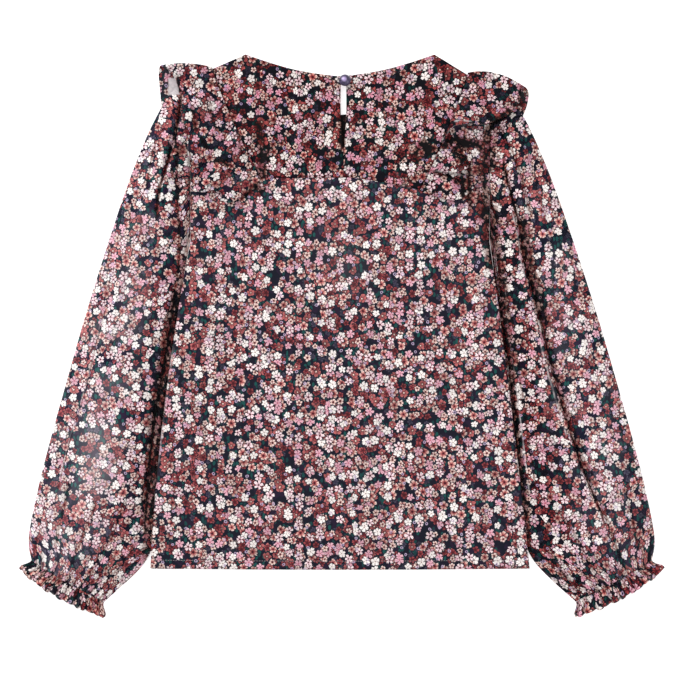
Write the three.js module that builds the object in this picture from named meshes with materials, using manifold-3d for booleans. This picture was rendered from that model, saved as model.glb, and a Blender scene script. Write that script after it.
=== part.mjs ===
// A girl's long-sleeved blouse with shoulder ruffles, laid flat on its front with its back upwards.
// Millimetres. +Z is up from the surface it lies on, +Y points from the hem to the neck, and +X to the
// wearer's right. The origin is the middle of the bounding box, on the surface.
import * as THREE from "three";
import { mergeVertices } from "three/addons/utils/BufferGeometryUtils.js";
import Module from "manifold-3d";

const wasm = await Module();
wasm.setup();
const { lerp, smoothstep } = THREE.MathUtils;

// ---- Driving dimensions ----

const CLOTH = 1.2; // wall of a piece: the cloth with its turned edges
const SEAM = 0.3; // gap between pieces where they are sewn
const PANEL_GAP = 2.5; // air between front and back away from their seams
const SEAM_EASE = 28; // how far from a seam the two panels reach that gap
const HEM_GAP = 1;

const NECK_HALF = 87;
const NECK_Y = 258.8;
const BACK_NECK_Y = 238.6;
const FRONT_NECK_Y = 203.5;
const ARMHOLE_X = 138;
const UNDERARM_Y = 86;
const HEM_HALF = 175;
const HEM_Y = -215.5;
const HEM_BOW = 1.2; // the hem hangs this much lower in the middle
const SIDE_BOW = 3; // the side seam bulges this far from a straight line

const SLIT_X = 3.2; // the back opening lies a little to the right of the middle
const SLIT_WIDTH = 5.4;
const SLIT_END_Y = 172;
const SLIT_WIDE_Y = 214;

const BUTTON_RADIUS = 5.5;
const BUTTON_HEIGHT = 4.4;
const BUTTON_X = 4.6;
const BUTTON_Y = 234.4;
const SHANK_RADIUS = 1.4;
const SHANK_HEIGHT = 1.9;
const LOOP_RADIUS = 2.3;
const LOOP_CORD = 0.55;
const LOOP_REACH = 5.2;

const SLEEVE_EDGE = 1.5; // half the height of a sleeve's folded edge
const OUTER_DOME = 0.6; // how squarely a sleeve rises from its outer edge, and from its inner one
const INNER_DOME = 1.4;
const SLEEVE_SIDES = 24;
const SLEEVE_ROWS = 19;
const CUFF_SIDES = 48;
const CUFF_WAVES = 12;
const CUFF_WAVE_DEPTH = 0.7;
const EDGE_ROOM = 2.4; // cloth left solid inside a sleeve's or cuff's folded edge

const RUFFLE_LIFT = 1.6; // the front half of a ruffle lies under the shoulder and lifts it this far
const RUFFLE_ROWS = 34;
const RUFFLE_COLUMNS = 6;
const RUFFLE_SEAT = 0.9; // gap beneath a ruffle at its seam, where it starts to rise
const FOLD_REACH = 1.7; // how far a ruffle's fold stands out past the shoulder seam

// Each side: where its shoulder meets the armhole, its ruffle seam from the yoke's corner to the shoulder,
// and how much further out than the table its sleeve lies.
const SIDES = {
  left: {
    sign: -1,
    tipY: 237,
    seamLow: [73, 144.5],
    seamHigh: [118, 245.3],
    sleeveOut: -1.2,
  },
  right: {
    sign: 1,
    tipY: 228,
    seamLow: [74, 133.5],
    seamHigh: [118, 239.9],
    sleeveOut: 1.8,
  },
};
const SEAM_BOW = 2.5; // the ruffle seam curves towards the armhole by this much

// The yoke's lower seam between its two corners.
const YOKE_SEAM = [
  [10, 145.4],
  [40, 141],
];

// How high the body's side edges ride on the inner edges of the sleeves.
const EDGE_LIFT = [
  { y: 86, lift: 0.4 },
  { y: 62, lift: 2.4 },
  { y: 40, lift: 3.7 },
  { y: 0, lift: 4 },
  { y: -60, lift: 4.8 },
  { y: -150, lift: 4.8 },
  { y: -190, lift: 3.6 },
  { y: -216, lift: 1.4 },
];
const EDGE_LIFT_REACH = 42;

// Sections of a sleeve from armhole to cuff: its outer and inner edges, and how high it puffs.
const SLEEVE = [
  { outX: 138.5, outY: 226, inX: 138.5, inY: 88, puff: 4.9 },
  { outX: 155.5, outY: 219, inX: 140.2, inY: 76, puff: 8 },
  { outX: 171.5, outY: 197, inX: 142.6, inY: 60, puff: 11.5 },
  { outX: 188, outY: 160, inX: 145.6, inY: 32, puff: 13 },
  { outX: 202.5, outY: 121, inX: 149.2, inY: 0, puff: 13.5 },
  { outX: 220, outY: 69, inX: 152, inY: -36, puff: 14 },
  { outX: 237.5, outY: 13, inX: 154, inY: -76, puff: 15 },
  { outX: 253, outY: -41, inX: 157, inY: -116, puff: 16 },
  { outX: 267, outY: -91, inX: 161.5, inY: -149, puff: 17 },
  { outX: 279.5, outY: -140, inX: 167.5, inY: -179, puff: 16.5 },
  { outX: 288.5, outY: -186, inX: 181, inY: -211, puff: 13.5 },
  { outX: 286, outY: -208, inX: 218, inY: -246.5, puff: 8 },
];

// Sections of a cuff from its elastic to the edge of its frill.
const CUFF = [
  { out: 0.4, spread: 0, puff: 8, wave: 0, bow: 0 },
  { out: 5, spread: 2.5, puff: 8.4, wave: 0.5, bow: 1.2 },
  { out: 9, spread: 6.2, puff: 9.2, wave: 1, bow: 2.6 },
  { out: 12.2, spread: 7, puff: 9.6, wave: 1, bow: 4 },
];

// Sections of each ruffle, from its lower end on the back, up to the shoulder, and down the front.
// seam runs from 0 at the yoke's corner to 1 at the shoulder, and fold from 0 on the back to 1 on the front.
// x, y and z are its free edge, and hump is how far its middle stands above a straight line to that edge.
const RUFFLES = {
  left: [
    { seam: 0, fold: 0, x: 76, y: 141, z: 8.2, hump: 0 },
    { seam: 0.08, fold: 0, x: 88, y: 129, z: 8.6, hump: 0 },
    { seam: 0.17, fold: 0, x: 102, y: 121.5, z: 12.5, hump: 0 },
    { seam: 0.27, fold: 0, x: 117, y: 131, z: 9.4, hump: 0 },
    { seam: 0.38, fold: 0, x: 131, y: 134, z: 13.5, hump: 0 },
    { seam: 0.5, fold: 0, x: 138, y: 152, z: 10.5, hump: 0 },
    { seam: 0.62, fold: 0, x: 141, y: 173, z: 14, hump: 0 },
    { seam: 0.74, fold: 0, x: 144.5, y: 196, z: 12.4, hump: 0 },
    { seam: 0.86, fold: 0, x: 149, y: 220, z: 14.5, hump: 0 },
    { seam: 0.96, fold: 0, x: 154, y: 238, z: 13.5, hump: 1 },
    { seam: 1, fold: 0.25, x: 160, y: 246, z: 11.5, hump: 2.5 },
    { seam: 1, fold: 0.5, x: 165, y: 247.6, z: 6.8, hump: 2.5 },
    { seam: 1, fold: 0.75, x: 166.5, y: 244.5, z: 2.4, hump: 1 },
    { seam: 0.95, fold: 1, x: 167, y: 237, z: 0.6, hump: 0 },
    { seam: 0.8, fold: 1, x: 165, y: 208, z: 0.6, hump: 0 },
    { seam: 0.55, fold: 1, x: 150, y: 172, z: 0.6, hump: 0 },
    { seam: 0.28, fold: 1, x: 122, y: 140, z: 0.6, hump: 0 },
    { seam: 0.02, fold: 1, x: 79, y: 137, z: 0.6, hump: 0 },
  ],
  right: [
    { seam: 0, fold: 0, x: 77, y: 130.6, z: 8.2, hump: 0 },
    { seam: 0.07, fold: 0, x: 88, y: 125.5, z: 9, hump: 0 },
    { seam: 0.15, fold: 0, x: 101, y: 121, z: 13, hump: 0 },
    { seam: 0.24, fold: 0, x: 113, y: 124, z: 8.8, hump: 0 },
    { seam: 0.33, fold: 0, x: 121, y: 137, z: 12, hump: 0 },
    { seam: 0.42, fold: 0, x: 121, y: 151, z: 16.5, hump: 0 },
    { seam: 0.52, fold: 0, x: 127, y: 163, z: 10.5, hump: 0 },
    { seam: 0.62, fold: 0, x: 134, y: 181, z: 15.5, hump: 0 },
    { seam: 0.74, fold: 0, x: 147, y: 196, z: 13, hump: 0 },
    { seam: 0.85, fold: 0, x: 160, y: 203, z: 14.5, hump: 0 },
    { seam: 0.95, fold: 0, x: 165, y: 216, z: 12.8, hump: 2 },
    { seam: 1, fold: 0.25, x: 168.5, y: 225, z: 10.5, hump: 6 },
    { seam: 1, fold: 0.5, x: 172.5, y: 222.5, z: 6.4, hump: 6 },
    { seam: 1, fold: 0.75, x: 173.5, y: 216, z: 2.2, hump: 3 },
    { seam: 0.95, fold: 1, x: 170, y: 206, z: 0.6, hump: 0 },
    { seam: 0.8, fold: 1, x: 162, y: 190, z: 0.6, hump: 0 },
    { seam: 0.55, fold: 1, x: 145, y: 164, z: 0.6, hump: 0 },
    { seam: 0.28, fold: 1, x: 118, y: 132, z: 0.6, hump: 0 },
    { seam: 0.02, fold: 1, x: 79, y: 128, z: 0.6, hump: 0 },
  ],
};

// ---- Materials ----

const printed = new THREE.MeshStandardMaterial({
  color: 0x8c7379,
  roughness: 0.85,
});
const pearl = new THREE.MeshStandardMaterial({
  color: 0x5b5573,
  roughness: 0.25,
  metalness: 0.1,
});
const cord = new THREE.MeshStandardMaterial({
  color: 0x23223a,
  roughness: 0.8,
});

// ---- Solids ----

const blouse = new THREE.Group();
blouse.name = "blouse";

// A manifold-3d solid from a closed geometry, whichever way its faces point.
function solidOf(geometry) {
  const bare = new THREE.BufferGeometry();
  bare.setAttribute("position", geometry.getAttribute("position"));
  bare.setIndex(geometry.index);
  const merged = mergeVertices(bare, 1e-4);
  const triVerts = new Uint32Array(merged.index.array);
  const vertProperties = merged.attributes.position.array;
  const make = () => new wasm.Manifold(new wasm.Mesh({ numProp: 3, vertProperties, triVerts }));
  const made = make();
  if (made.volume() > 0) return made;
  for (let i = 0; i < triVerts.length; i += 3) {
    [triVerts[i + 1], triVerts[i + 2]] = [triVerts[i + 2], triVerts[i + 1]];
  }
  return make();
}

function addPiece(name, solid, material) {
  const mesh = solid.getMesh();
  const stride = mesh.numProp;
  const position = new Float32Array(mesh.numVert * 3);
  for (let i = 0; i < mesh.numVert; i++) {
    position.set(mesh.vertProperties.subarray(i * stride, i * stride + 3), i * 3);
  }
  const geometry = new THREE.BufferGeometry();
  geometry.setAttribute("position", new THREE.BufferAttribute(position, 3));
  geometry.setIndex(new THREE.BufferAttribute(mesh.triVerts, 1));
  const piece = new THREE.Mesh(geometry, material);
  piece.name = name;
  blouse.add(piece);
}

// The closed wall between two grids of points. Where the grids are round, the last column meets the first.
function wall(outer, inner, round = false) {
  const rows = outer.length;
  const columns = outer[0].length;
  const spans = round ? columns : columns - 1;
  const index = [];
  const at = (side, i, j) => (side * rows + i) * columns + (j % columns);
  const quad = (a, b, c, d) => index.push(a, b, c, a, c, d);
  for (let i = 0; i < rows - 1; i++) {
    for (let j = 0; j < spans; j++) {
      quad(at(0, i, j), at(0, i, j + 1), at(0, i + 1, j + 1), at(0, i + 1, j));
      quad(at(1, i, j), at(1, i + 1, j), at(1, i + 1, j + 1), at(1, i, j + 1));
    }
  }
  const last = rows - 1;
  for (let j = 0; j < spans; j++) {
    quad(at(1, 0, j), at(1, 0, j + 1), at(0, 0, j + 1), at(0, 0, j));
    quad(at(0, last, j), at(0, last, j + 1), at(1, last, j + 1), at(1, last, j));
  }
  for (let i = 0; i < last && !round; i++) {
    quad(at(0, i, 0), at(0, i + 1, 0), at(1, i + 1, 0), at(1, i, 0));
    quad(at(1, i, spans), at(1, i + 1, spans), at(0, i + 1, spans), at(0, i, spans));
  }
  const points = [...outer.flat(), ...inner.flat()];
  const geometry = new THREE.BufferGeometry().setFromPoints(points);
  geometry.setIndex(index);
  return solidOf(geometry);
}

// An upright prism on an outline, tall enough to cut any piece.
function prism(shape) {
  const geometry = new THREE.ExtrudeGeometry(shape, { depth: 60, bevelEnabled: false, curveSegments: 7 });
  geometry.translate(0, 0, -20);
  return solidOf(geometry);
}

// Linear reading of one column of a table whose rows run down in y.
function readDown(rows, y, column) {
  const last = rows.length - 1;
  if (y >= rows[0].y) return rows[0][column];
  if (y <= rows[last].y) return rows[last][column];
  const i = rows.findIndex((row) => row.y < y);
  const share = (rows[i - 1].y - y) / (rows[i - 1].y - rows[i].y);
  return lerp(rows[i - 1][column], rows[i][column], share);
}

// A smooth reading of a table at t from 0 to 1, as one object with the same columns.
function readAlong(rows, t) {
  const row = {};
  for (const column of Object.keys(rows[0])) {
    const place = t * (rows.length - 1);
    const i = Math.min(Math.floor(place), rows.length - 2);
    const f = place - i;
    const v = (k) => rows[THREE.MathUtils.clamp(k, 0, rows.length - 1)][column];
    const slopeA = (v(i + 1) - v(i - 1)) / 2;
    const slopeB = (v(i + 2) - v(i)) / 2;
    const rise = v(i + 1) - v(i);
    const square = 3 * rise - 2 * slopeA - slopeB;
    const cube = slopeA + slopeB - 2 * rise;
    row[column] = v(i) + f * (slopeA + f * (square + f * cube));
  }
  return row;
}

// ---- Body: front, back and yoke ----

function halfWidth(y) {
  if (y >= UNDERARM_Y) return ARMHOLE_X;
  const down = (UNDERARM_Y - y) / (UNDERARM_Y - HEM_Y);
  return lerp(ARMHOLE_X, HEM_HALF, down) + SIDE_BOW * 4 * down * (1 - down);
}

const sideOf = (x) => (x < 0 ? SIDES.left : SIDES.right);

function shoulderY(x) {
  return lerp(NECK_Y, sideOf(x).tipY, (Math.abs(x) - NECK_HALF) / (ARMHOLE_X - NECK_HALF));
}

const ruffleLift = (x, y) => RUFFLE_LIFT * smoothstep(Math.abs(x), 45, 70) * smoothstep(y, 98, 122);

// The underside of the front: flat on the surface, but for the ruffles and sleeves beneath its edges.
function frontBottom(x, y) {
  const inside = halfWidth(y) - Math.abs(x);
  const nearEdge = 1 - smoothstep(inside, 0, EDGE_LIFT_REACH);
  const lift = y < UNDERARM_Y ? readDown(EDGE_LIFT, y, "lift") * nearEdge : 0;
  return lift + ruffleLift(x, y);
}

// The air between front and back: almost none at the side and shoulder seams.
function panelGap(x, y) {
  const side = halfWidth(y) - Math.abs(x) + Math.max(0, y - UNDERARM_Y);
  const shoulder = Math.max(0, NECK_HALF - Math.abs(x)) + Math.max(0, shoulderY(x) - y);
  const away = smoothstep(Math.min(side, shoulder), 0, SEAM_EASE);
  const hem = lerp(HEM_GAP, PANEL_GAP, smoothstep(y - HEM_Y, 0, 40));
  return Math.min(lerp(SEAM, PANEL_GAP, away), hem);
}

const backBottom = (x, y) => frontBottom(x, y) + CLOTH + panelGap(x, y);
const backTop = (x, y) => backBottom(x, y) + CLOTH;

// A level wall over the whole body, closer meshed towards its side edges.
function bodySheet(bottomOf) {
  const shares = [-1.04, -1, -0.95, -0.89, -0.82, -0.72, -0.55, -0.3, 0, 0.3, 0.55, 0.72, 0.82, 0.89, 0.95, 1, 1.04];
  const heights = [-222, -216, -203, -180, -150, -105, -60, -28, 0, 40, 86, 100, 124, 160, 200, 225, 242, 266];
  const grid = (rise) =>
    heights.map((y) =>
      shares.map((share) => {
        const x = share * halfWidth(y);
        return new THREE.Vector3(x, y, bottomOf(x, y) + rise);
      }),
    );
  return wall(grid(CLOTH), grid(0));
}

// The body's outline with its neckline dipping to neckY in the middle.
function bodyOutline(neckY, neckPull) {
  const shape = new THREE.Shape();
  const sideSteps = [HEM_Y, -180, -130, -80, -30, 20, 60, 86];
  shape.moveTo(-HEM_HALF, HEM_Y);
  shape.quadraticCurveTo(0, HEM_Y - 2 * HEM_BOW, HEM_HALF, HEM_Y);
  sideSteps.forEach((y) => shape.lineTo(halfWidth(y), y));
  shape.lineTo(ARMHOLE_X, SIDES.right.tipY);
  shape.lineTo(NECK_HALF, NECK_Y);
  shape.quadraticCurveTo(neckPull, neckY + 3.5, 0, neckY);
  shape.quadraticCurveTo(-neckPull, neckY + 3.5, -NECK_HALF, NECK_Y);
  shape.lineTo(-ARMHOLE_X, SIDES.left.tipY);
  [...sideSteps].reverse().forEach((y) => shape.lineTo(-halfWidth(y), y));
  return prism(shape);
}

// A point of a side's ruffle seam, s from 0 at the yoke's corner to 1 at the shoulder, moved out by margin.
function rufflePoint(side, s, margin = 0) {
  const [lowX, lowY] = side.seamLow;
  const [highX, highY] = side.seamHigh;
  const x = lerp(lowX, highX, s) + SEAM_BOW * 4 * s * (1 - s) + margin;
  return new THREE.Vector2(side.sign * x, lerp(lowY, highY, s));
}

// The yoke lies between the two ruffle seams, above its lower seam.
function yokeOutline(margin) {
  const steps = [0, 0.25, 0.5, 0.75, 1, 1.3];
  const shape = new THREE.Shape();
  const left = steps.map((s) => rufflePoint(SIDES.left, s, margin));
  const right = steps.map((s) => rufflePoint(SIDES.right, s, margin));
  left[0].y -= margin;
  right[0].y -= margin;
  const seam = YOKE_SEAM.map(([x, y]) => new THREE.Vector2(x, y - margin));
  shape.setFromPoints([...left.reverse(), ...seam, ...right]);
  return prism(shape);
}

// The back opening: a long drop, open at the neck, that goes on below as the yoke's centre seam.
function slitOutline() {
  const half = SLIT_WIDTH / 2;
  const seam = SEAM / 2;
  const shape = new THREE.Shape();
  shape.moveTo(SLIT_X - seam, 100);
  shape.lineTo(SLIT_X - seam, SLIT_END_Y);
  shape.quadraticCurveTo(SLIT_X - half, 192, SLIT_X - half, SLIT_WIDE_Y);
  shape.quadraticCurveTo(SLIT_X - half, 232, SLIT_X - 1.2, 270);
  shape.lineTo(SLIT_X + 1.2, 270);
  shape.quadraticCurveTo(SLIT_X + half, 232, SLIT_X + half, SLIT_WIDE_Y);
  shape.quadraticCurveTo(SLIT_X + half, 192, SLIT_X + seam, SLIT_END_Y);
  shape.lineTo(SLIT_X + seam, 100);
  return prism(shape);
}

// Everything to one side of the back opening.
function besideSlit(sign) {
  const far = SLIT_X + sign * 400;
  const corners = [
    [SLIT_X, -400],
    [far, -400],
    [far, 400],
    [SLIT_X, 400],
  ];
  const order = sign > 0 ? corners : corners.reverse();
  return prism(new THREE.Shape(order.map(([x, y]) => new THREE.Vector2(x, y))));
}

function addBody() {
  const front = bodySheet(frontBottom).intersect(bodyOutline(FRONT_NECK_Y, 58));
  const back = bodySheet(backBottom).intersect(bodyOutline(BACK_NECK_Y, 45));
  const yoke = back.intersect(yokeOutline(-SEAM / 2)).subtract(slitOutline());
  addPiece("front_panel", front, printed);
  addPiece("back_panel", back.subtract(yokeOutline(SEAM / 2)), printed);
  addPiece("back_yoke_left", yoke.intersect(besideSlit(-1)), printed);
  addPiece("back_yoke_right", yoke.intersect(besideSlit(1)), printed);
}

// ---- Sleeves and cuffs ----

// One flattened ring of a sleeve or cuff, between an outer and an inner edge point.
// The underside lies on what is below it, and the top rises to the puff, steeper on the outer side.
function ring(edges, sides, inset, bow = new THREE.Vector2(), ripple = () => 0) {
  const reach = 1 - (2 * inset) / edges.outer.distanceTo(edges.inner);
  const points = [];
  for (let k = 0; k < sides; k++) {
    const angle = (2 * Math.PI * k) / sides;
    const across = Math.cos(angle) * reach;
    const place = edges.inner.clone().lerp(edges.outer, (1 + across) / 2);
    const rest = ruffleLift(place.x, place.y);
    const bulge = 1 - across ** 2;
    place.addScaledVector(bow, bulge);
    const dome = bulge ** (across > 0 ? OUTER_DOME : INNER_DOME);
    const top = SLEEVE_EDGE + (edges.puff - SLEEVE_EDGE) * dome;
    const bottom = SLEEVE_EDGE * (1 - Math.min(1, bulge * 6));
    const wave = ripple(angle);
    const middle = (top + bottom) / 2;
    const thin = inset > 0 ? CLOTH : 0;
    const upper = Math.max(top + wave - thin, middle + SEAM / 2);
    const lower = Math.min(bottom + Math.max(0, wave) + thin, middle - SEAM / 2);
    const onEdge = Math.abs(Math.sin(angle)) < 1e-6;
    const z = onEdge ? middle : angle < Math.PI ? upper : lower;
    points.push(new THREE.Vector3(place.x, place.y, rest + z));
  }
  return points;
}

// The upper or lower half of a ring, half a seam clear of the other half at both edges.
function halfRing(points, upper) {
  const half = points.length / 2;
  const ends = upper ? [0, half] : [half, points.length];
  return [...Array(half + 1).keys()].map((k) => {
    const point = points[(ends[0] + k) % points.length].clone();
    if (k === 0 || k === half) point.z += upper ? SEAM / 2 : -SEAM / 2;
    return point;
  });
}

function sleeveEdges(side, t) {
  const row = readAlong(SLEEVE, t);
  const tip = side.tipY - SIDES.right.tipY;
  const outX = row.outX + side.sleeveOut * smoothstep(t, 0.05, 0.7);
  const outY = row.outY + tip * (1 - smoothstep(t, 0, 0.2));
  return {
    outer: new THREE.Vector2(side.sign * outX, outY),
    inner: new THREE.Vector2(side.sign * row.inX, row.inY),
    puff: row.puff,
  };
}

// A sleeve is one tube of cloth, made as its back and front halves, which meet along its two folded edges.
function addSleeve(name, side) {
  const outside = [];
  const inside = [];
  for (let i = 0; i < SLEEVE_ROWS; i++) {
    const edges = sleeveEdges(side, i / (SLEEVE_ROWS - 1));
    outside.push(ring(edges, SLEEVE_SIDES, 0));
    inside.push(ring(edges, SLEEVE_SIDES, EDGE_ROOM));
  }
  for (const [half, upper] of [["back", true], ["front", false]]) {
    const outer = outside.map((points) => halfRing(points, upper));
    const inner = inside.map((points) => halfRing(points, upper));
    addPiece(`${name}_${half}`, wall(outer, inner), printed);
  }
}

function addCuff(name, side) {
  const { outer, inner } = sleeveEdges(side, 1);
  const along = inner.clone().sub(outer).normalize();
  const away = new THREE.Vector2(along.y, -along.x).multiplyScalar(-side.sign);
  const outside = [];
  const inside = [];
  for (const row of CUFF) {
    const edges = {
      outer: outer.clone().addScaledVector(away, row.out).addScaledVector(along, -row.spread),
      inner: inner.clone().addScaledVector(away, row.out).addScaledVector(along, row.spread),
      puff: row.puff,
    };
    const bow = away.clone().multiplyScalar(row.bow);
    const ripple = (angle) => row.wave * CUFF_WAVE_DEPTH * Math.sin(CUFF_WAVES * angle);
    outside.push(ring(edges, CUFF_SIDES, 0, bow, ripple));
    inside.push(ring(edges, CUFF_SIDES, EDGE_ROOM, bow, ripple));
  }
  addPiece(name, wall(outside, inside, true), printed);
}

// ---- Ruffles ----

// The middle of a ruffle's cloth: a strip from its seam to its free edge, folded over the shoulder.
function ruffleMiddle(side, rows) {
  const grid = [];
  for (let i = 0; i < RUFFLE_ROWS; i++) {
    const row = readAlong(rows, i / (RUFFLE_ROWS - 1));
    const fold = THREE.MathUtils.clamp(row.fold, 0, 1);
    const seam = rufflePoint(side, THREE.MathUtils.clamp(row.seam, 0, 1));
    const level = backTop(seam.x, seam.y) + RUFFLE_SEAT + CLOTH / 2;
    const z = lerp(level, CLOTH / 2, smoothstep(fold, 0.1, 0.6));
    const reach = FOLD_REACH * smoothstep(fold, 0, 0.2) * (1 - smoothstep(fold, 0.6, 1));
    const start = new THREE.Vector3(seam.x, seam.y + reach, z);
    const end = new THREE.Vector3(side.sign * row.x, row.y, Math.max(row.z, CLOTH / 2));
    const points = [...Array(RUFFLE_COLUMNS).keys()].map((j) => {
      const across = j / (RUFFLE_COLUMNS - 1);
      const point = start.clone().lerp(end, across);
      point.y += row.hump * 4 * across * (1 - across);
      return point;
    });
    grid.push(points);
  }
  return grid;
}

// A grid moved along its own normals.
function offsetGrid(grid, distance) {
  const near = (list, i) => list[THREE.MathUtils.clamp(i, 0, list.length - 1)];
  return grid.map((row, i) =>
    row.map((point, j) => {
      const down = near(grid, i + 1)[j].clone().sub(near(grid, i - 1)[j]);
      const across = near(row, j + 1).clone().sub(near(row, j - 1));
      return point.clone().addScaledVector(across.cross(down).normalize(), distance);
    }),
  );
}

function addRuffle(name, side, rows) {
  const middle = ruffleMiddle(side, rows);
  addPiece(name, wall(offsetGrid(middle, CLOTH / 2), offsetGrid(middle, -CLOTH / 2)), printed);
}

// ---- Button and loop ----

function addButton() {
  const seat = backTop(BUTTON_X, BUTTON_Y) + SEAM;
  const crown = seat + SHANK_HEIGHT;
  const profile = [
    new THREE.Vector2(0, seat),
    new THREE.Vector2(SHANK_RADIUS, seat),
    new THREE.Vector2(SHANK_RADIUS, crown),
    new THREE.Vector2(BUTTON_RADIUS - 0.6, crown),
  ];
  const steps = 7;
  for (let i = 0; i <= steps; i++) {
    const angle = (Math.PI / 2) * (i / steps);
    const radius = i === steps ? 0 : BUTTON_RADIUS * Math.cos(angle);
    profile.push(new THREE.Vector2(radius, crown + 0.6 + (BUTTON_HEIGHT - 0.6) * Math.sin(angle)));
  }
  const geometry = new THREE.LatheGeometry(profile, 28);
  geometry.rotateX(Math.PI / 2);
  geometry.translate(BUTTON_X, BUTTON_Y, 0);
  addPiece("button", solidOf(geometry), pearl);
}

// A cord loop from the left edge of the opening, round the button's shank.
function addLoop() {
  const height = backTop(BUTTON_X, BUTTON_Y) + SEAM + LOOP_CORD;
  const points = [new THREE.Vector3(BUTTON_X - LOOP_REACH - 1.6, BUTTON_Y - LOOP_RADIUS * 0.75, height)];
  const turns = 8;
  for (let i = 0; i <= turns; i++) {
    const angle = -Math.PI * 0.6 + (Math.PI * 1.2 * i) / turns;
    const x = BUTTON_X + LOOP_RADIUS * Math.cos(angle);
    points.push(new THREE.Vector3(x, BUTTON_Y + LOOP_RADIUS * Math.sin(angle), height));
  }
  points.push(new THREE.Vector3(BUTTON_X - LOOP_REACH - 1.6, BUTTON_Y + LOOP_RADIUS * 0.75, height));
  const section = new THREE.Shape();
  section.absarc(0, 0, LOOP_CORD, 0, Math.PI * 2);
  const geometry = new THREE.ExtrudeGeometry(section, {
    steps: 24,
    curveSegments: 3,
    bevelEnabled: false,
    extrudePath: new THREE.CatmullRomCurve3(points),
  });
  addPiece("button_loop", solidOf(geometry), cord);
}

addBody();
for (const [name, side] of Object.entries(SIDES)) {
  addSleeve("sleeve_" + name, side);
  addCuff("cuff_" + name, side);
  addRuffle("ruffle_" + name, side, RUFFLES[name]);
}
addButton();
addLoop();

export default blouse;
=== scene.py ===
"""A child's ruffled blouse, laid flat with its back up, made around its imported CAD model.

Lengths here are millimetres until a mesh is made. X runs to the wearer's right, Y from the hem to the neck.
"""

import math

import bpy
import numpy as np
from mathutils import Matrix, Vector, geometry


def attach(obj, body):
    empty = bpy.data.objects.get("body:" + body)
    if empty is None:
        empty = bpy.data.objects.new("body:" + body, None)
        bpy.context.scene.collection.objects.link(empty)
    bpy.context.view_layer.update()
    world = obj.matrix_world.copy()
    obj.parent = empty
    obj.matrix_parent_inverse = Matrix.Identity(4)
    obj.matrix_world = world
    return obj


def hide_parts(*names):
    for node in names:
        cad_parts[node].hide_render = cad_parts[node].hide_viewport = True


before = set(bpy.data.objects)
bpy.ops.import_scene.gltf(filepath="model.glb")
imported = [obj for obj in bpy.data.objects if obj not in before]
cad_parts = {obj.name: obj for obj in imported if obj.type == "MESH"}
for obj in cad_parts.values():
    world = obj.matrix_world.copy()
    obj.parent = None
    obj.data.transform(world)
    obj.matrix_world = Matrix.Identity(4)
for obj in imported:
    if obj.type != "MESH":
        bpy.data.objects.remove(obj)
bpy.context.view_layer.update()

MM = 0.001
TURN = 6.283  # a whole turn in radians
THICKNESS = 0.5  # of the cloth
CLEAR = 0.02  # below the lowest cloth
LOWEST = THICKNESS / 2 + CLEAR  # for the middle of the cloth
SEAM = 0.3  # between pieces where they are sewn
WALL = 1.2  # of the CAD model's solids

# ---- Sizes that the CAD model is made from ----

PANEL_GAP = 2.5
SEAM_EASE = 28
HEM_GAP = 1
NECK_HALF = 87
NECK_Y = 258.8
BACK_NECK_Y = 238.6
FRONT_NECK_Y = 203.5
ARMHOLE_X = 138
UNDERARM_Y = 86
HEM_HALF = 175
HEM_Y = -215.5
HEM_BOW = 1.2
SLIT_X = 3.2
SLIT_WIDTH = 5.4
SLIT_END_Y = 172
SLIT_WIDE_Y = 214
BUTTON_X = 4.6
BUTTON_Y = 234.4
BUTTON_RADIUS = 5.5
BUTTON_HEIGHT = 4.4
SHANK_RADIUS = 1.4
SHANK_HEIGHT = 1.9
LOOP_RADIUS = 2.3
LOOP_CORD = 0.55
LOOP_REACH = 5.2
SLEEVE_EDGE = 1.5
OUTER_DOME = 0.6
INNER_DOME = 1.4
RUFFLE_LIFT = 1.6
RUFFLE_SEAT = 0.9
FOLD_REACH = 1.7
SEAM_BOW = 2.5
EDGE_LIFT_REACH = 42
USUAL_BOW = 3  # of the body's side edges, which the sleeves' inner edges follow
YOKE_SEAM = [(10, 145.4), (40, 141)]

# Each side's shoulder tip, the lower and upper ends of its ruffle seam, how far the body's edge bows out, and
# how far the sleeve's outer edge lies out. Then its looks: how much painted sheen the middle of the sleeve has,
# and how deep the print is at the sleeve's head, its middle and its cuff, and on the ruffle. A deep print has
# something dark behind it, and is partly painted shade: the right side, away from the lamp, is deeper. Below
# zero, the print is paler: painted light.
SIDES = {
    "left": dict(
        sign=-1, tip_y=237, low=(73, 144.5), high=(118, 245.3), bow=5, sleeve_out=-1.2,
        painted_sheen=0.04, deep=(-0.15, -0.5, -1.05), ruffle_deep=0.1,
    ),
    "right": dict(
        sign=1, tip_y=228, low=(74, 133.5), high=(118, 239.9), bow=1, sleeve_out=1.8,
        painted_sheen=0.02, deep=(0.7, -0.3, -0.55), ruffle_deep=0.9,
    ),
}

# How high the body's side edges ride: y, lift.
EDGE_LIFT = [(86, 0.4), (62, 2.4), (40, 3.7), (0, 4), (-60, 4.8), (-150, 4.8), (-190, 3.6), (-216, 1.4)]

# A sleeve from armhole to cuff: its outer edge's x and y, its inner edge's x and y, and its puff.
SLEEVE = [
    (138.5, 226, 138.5, 88, 4.9),
    (155.5, 219, 140.2, 76, 8),
    (171.5, 197, 142.6, 60, 11.5),
    (188, 160, 145.6, 32, 13),
    (202.5, 121, 149.2, 0, 13.5),
    (220, 69, 152, -36, 14),
    (237.5, 13, 154, -76, 15),
    (253, -41, 157, -116, 16),
    (267, -91, 161.5, -149, 17),
    (279.5, -140, 167.5, -179, 16.5),
    (288.5, -186, 181, -211, 13.5),
    (286, -208, 218, -246.5, 8),
]

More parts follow.
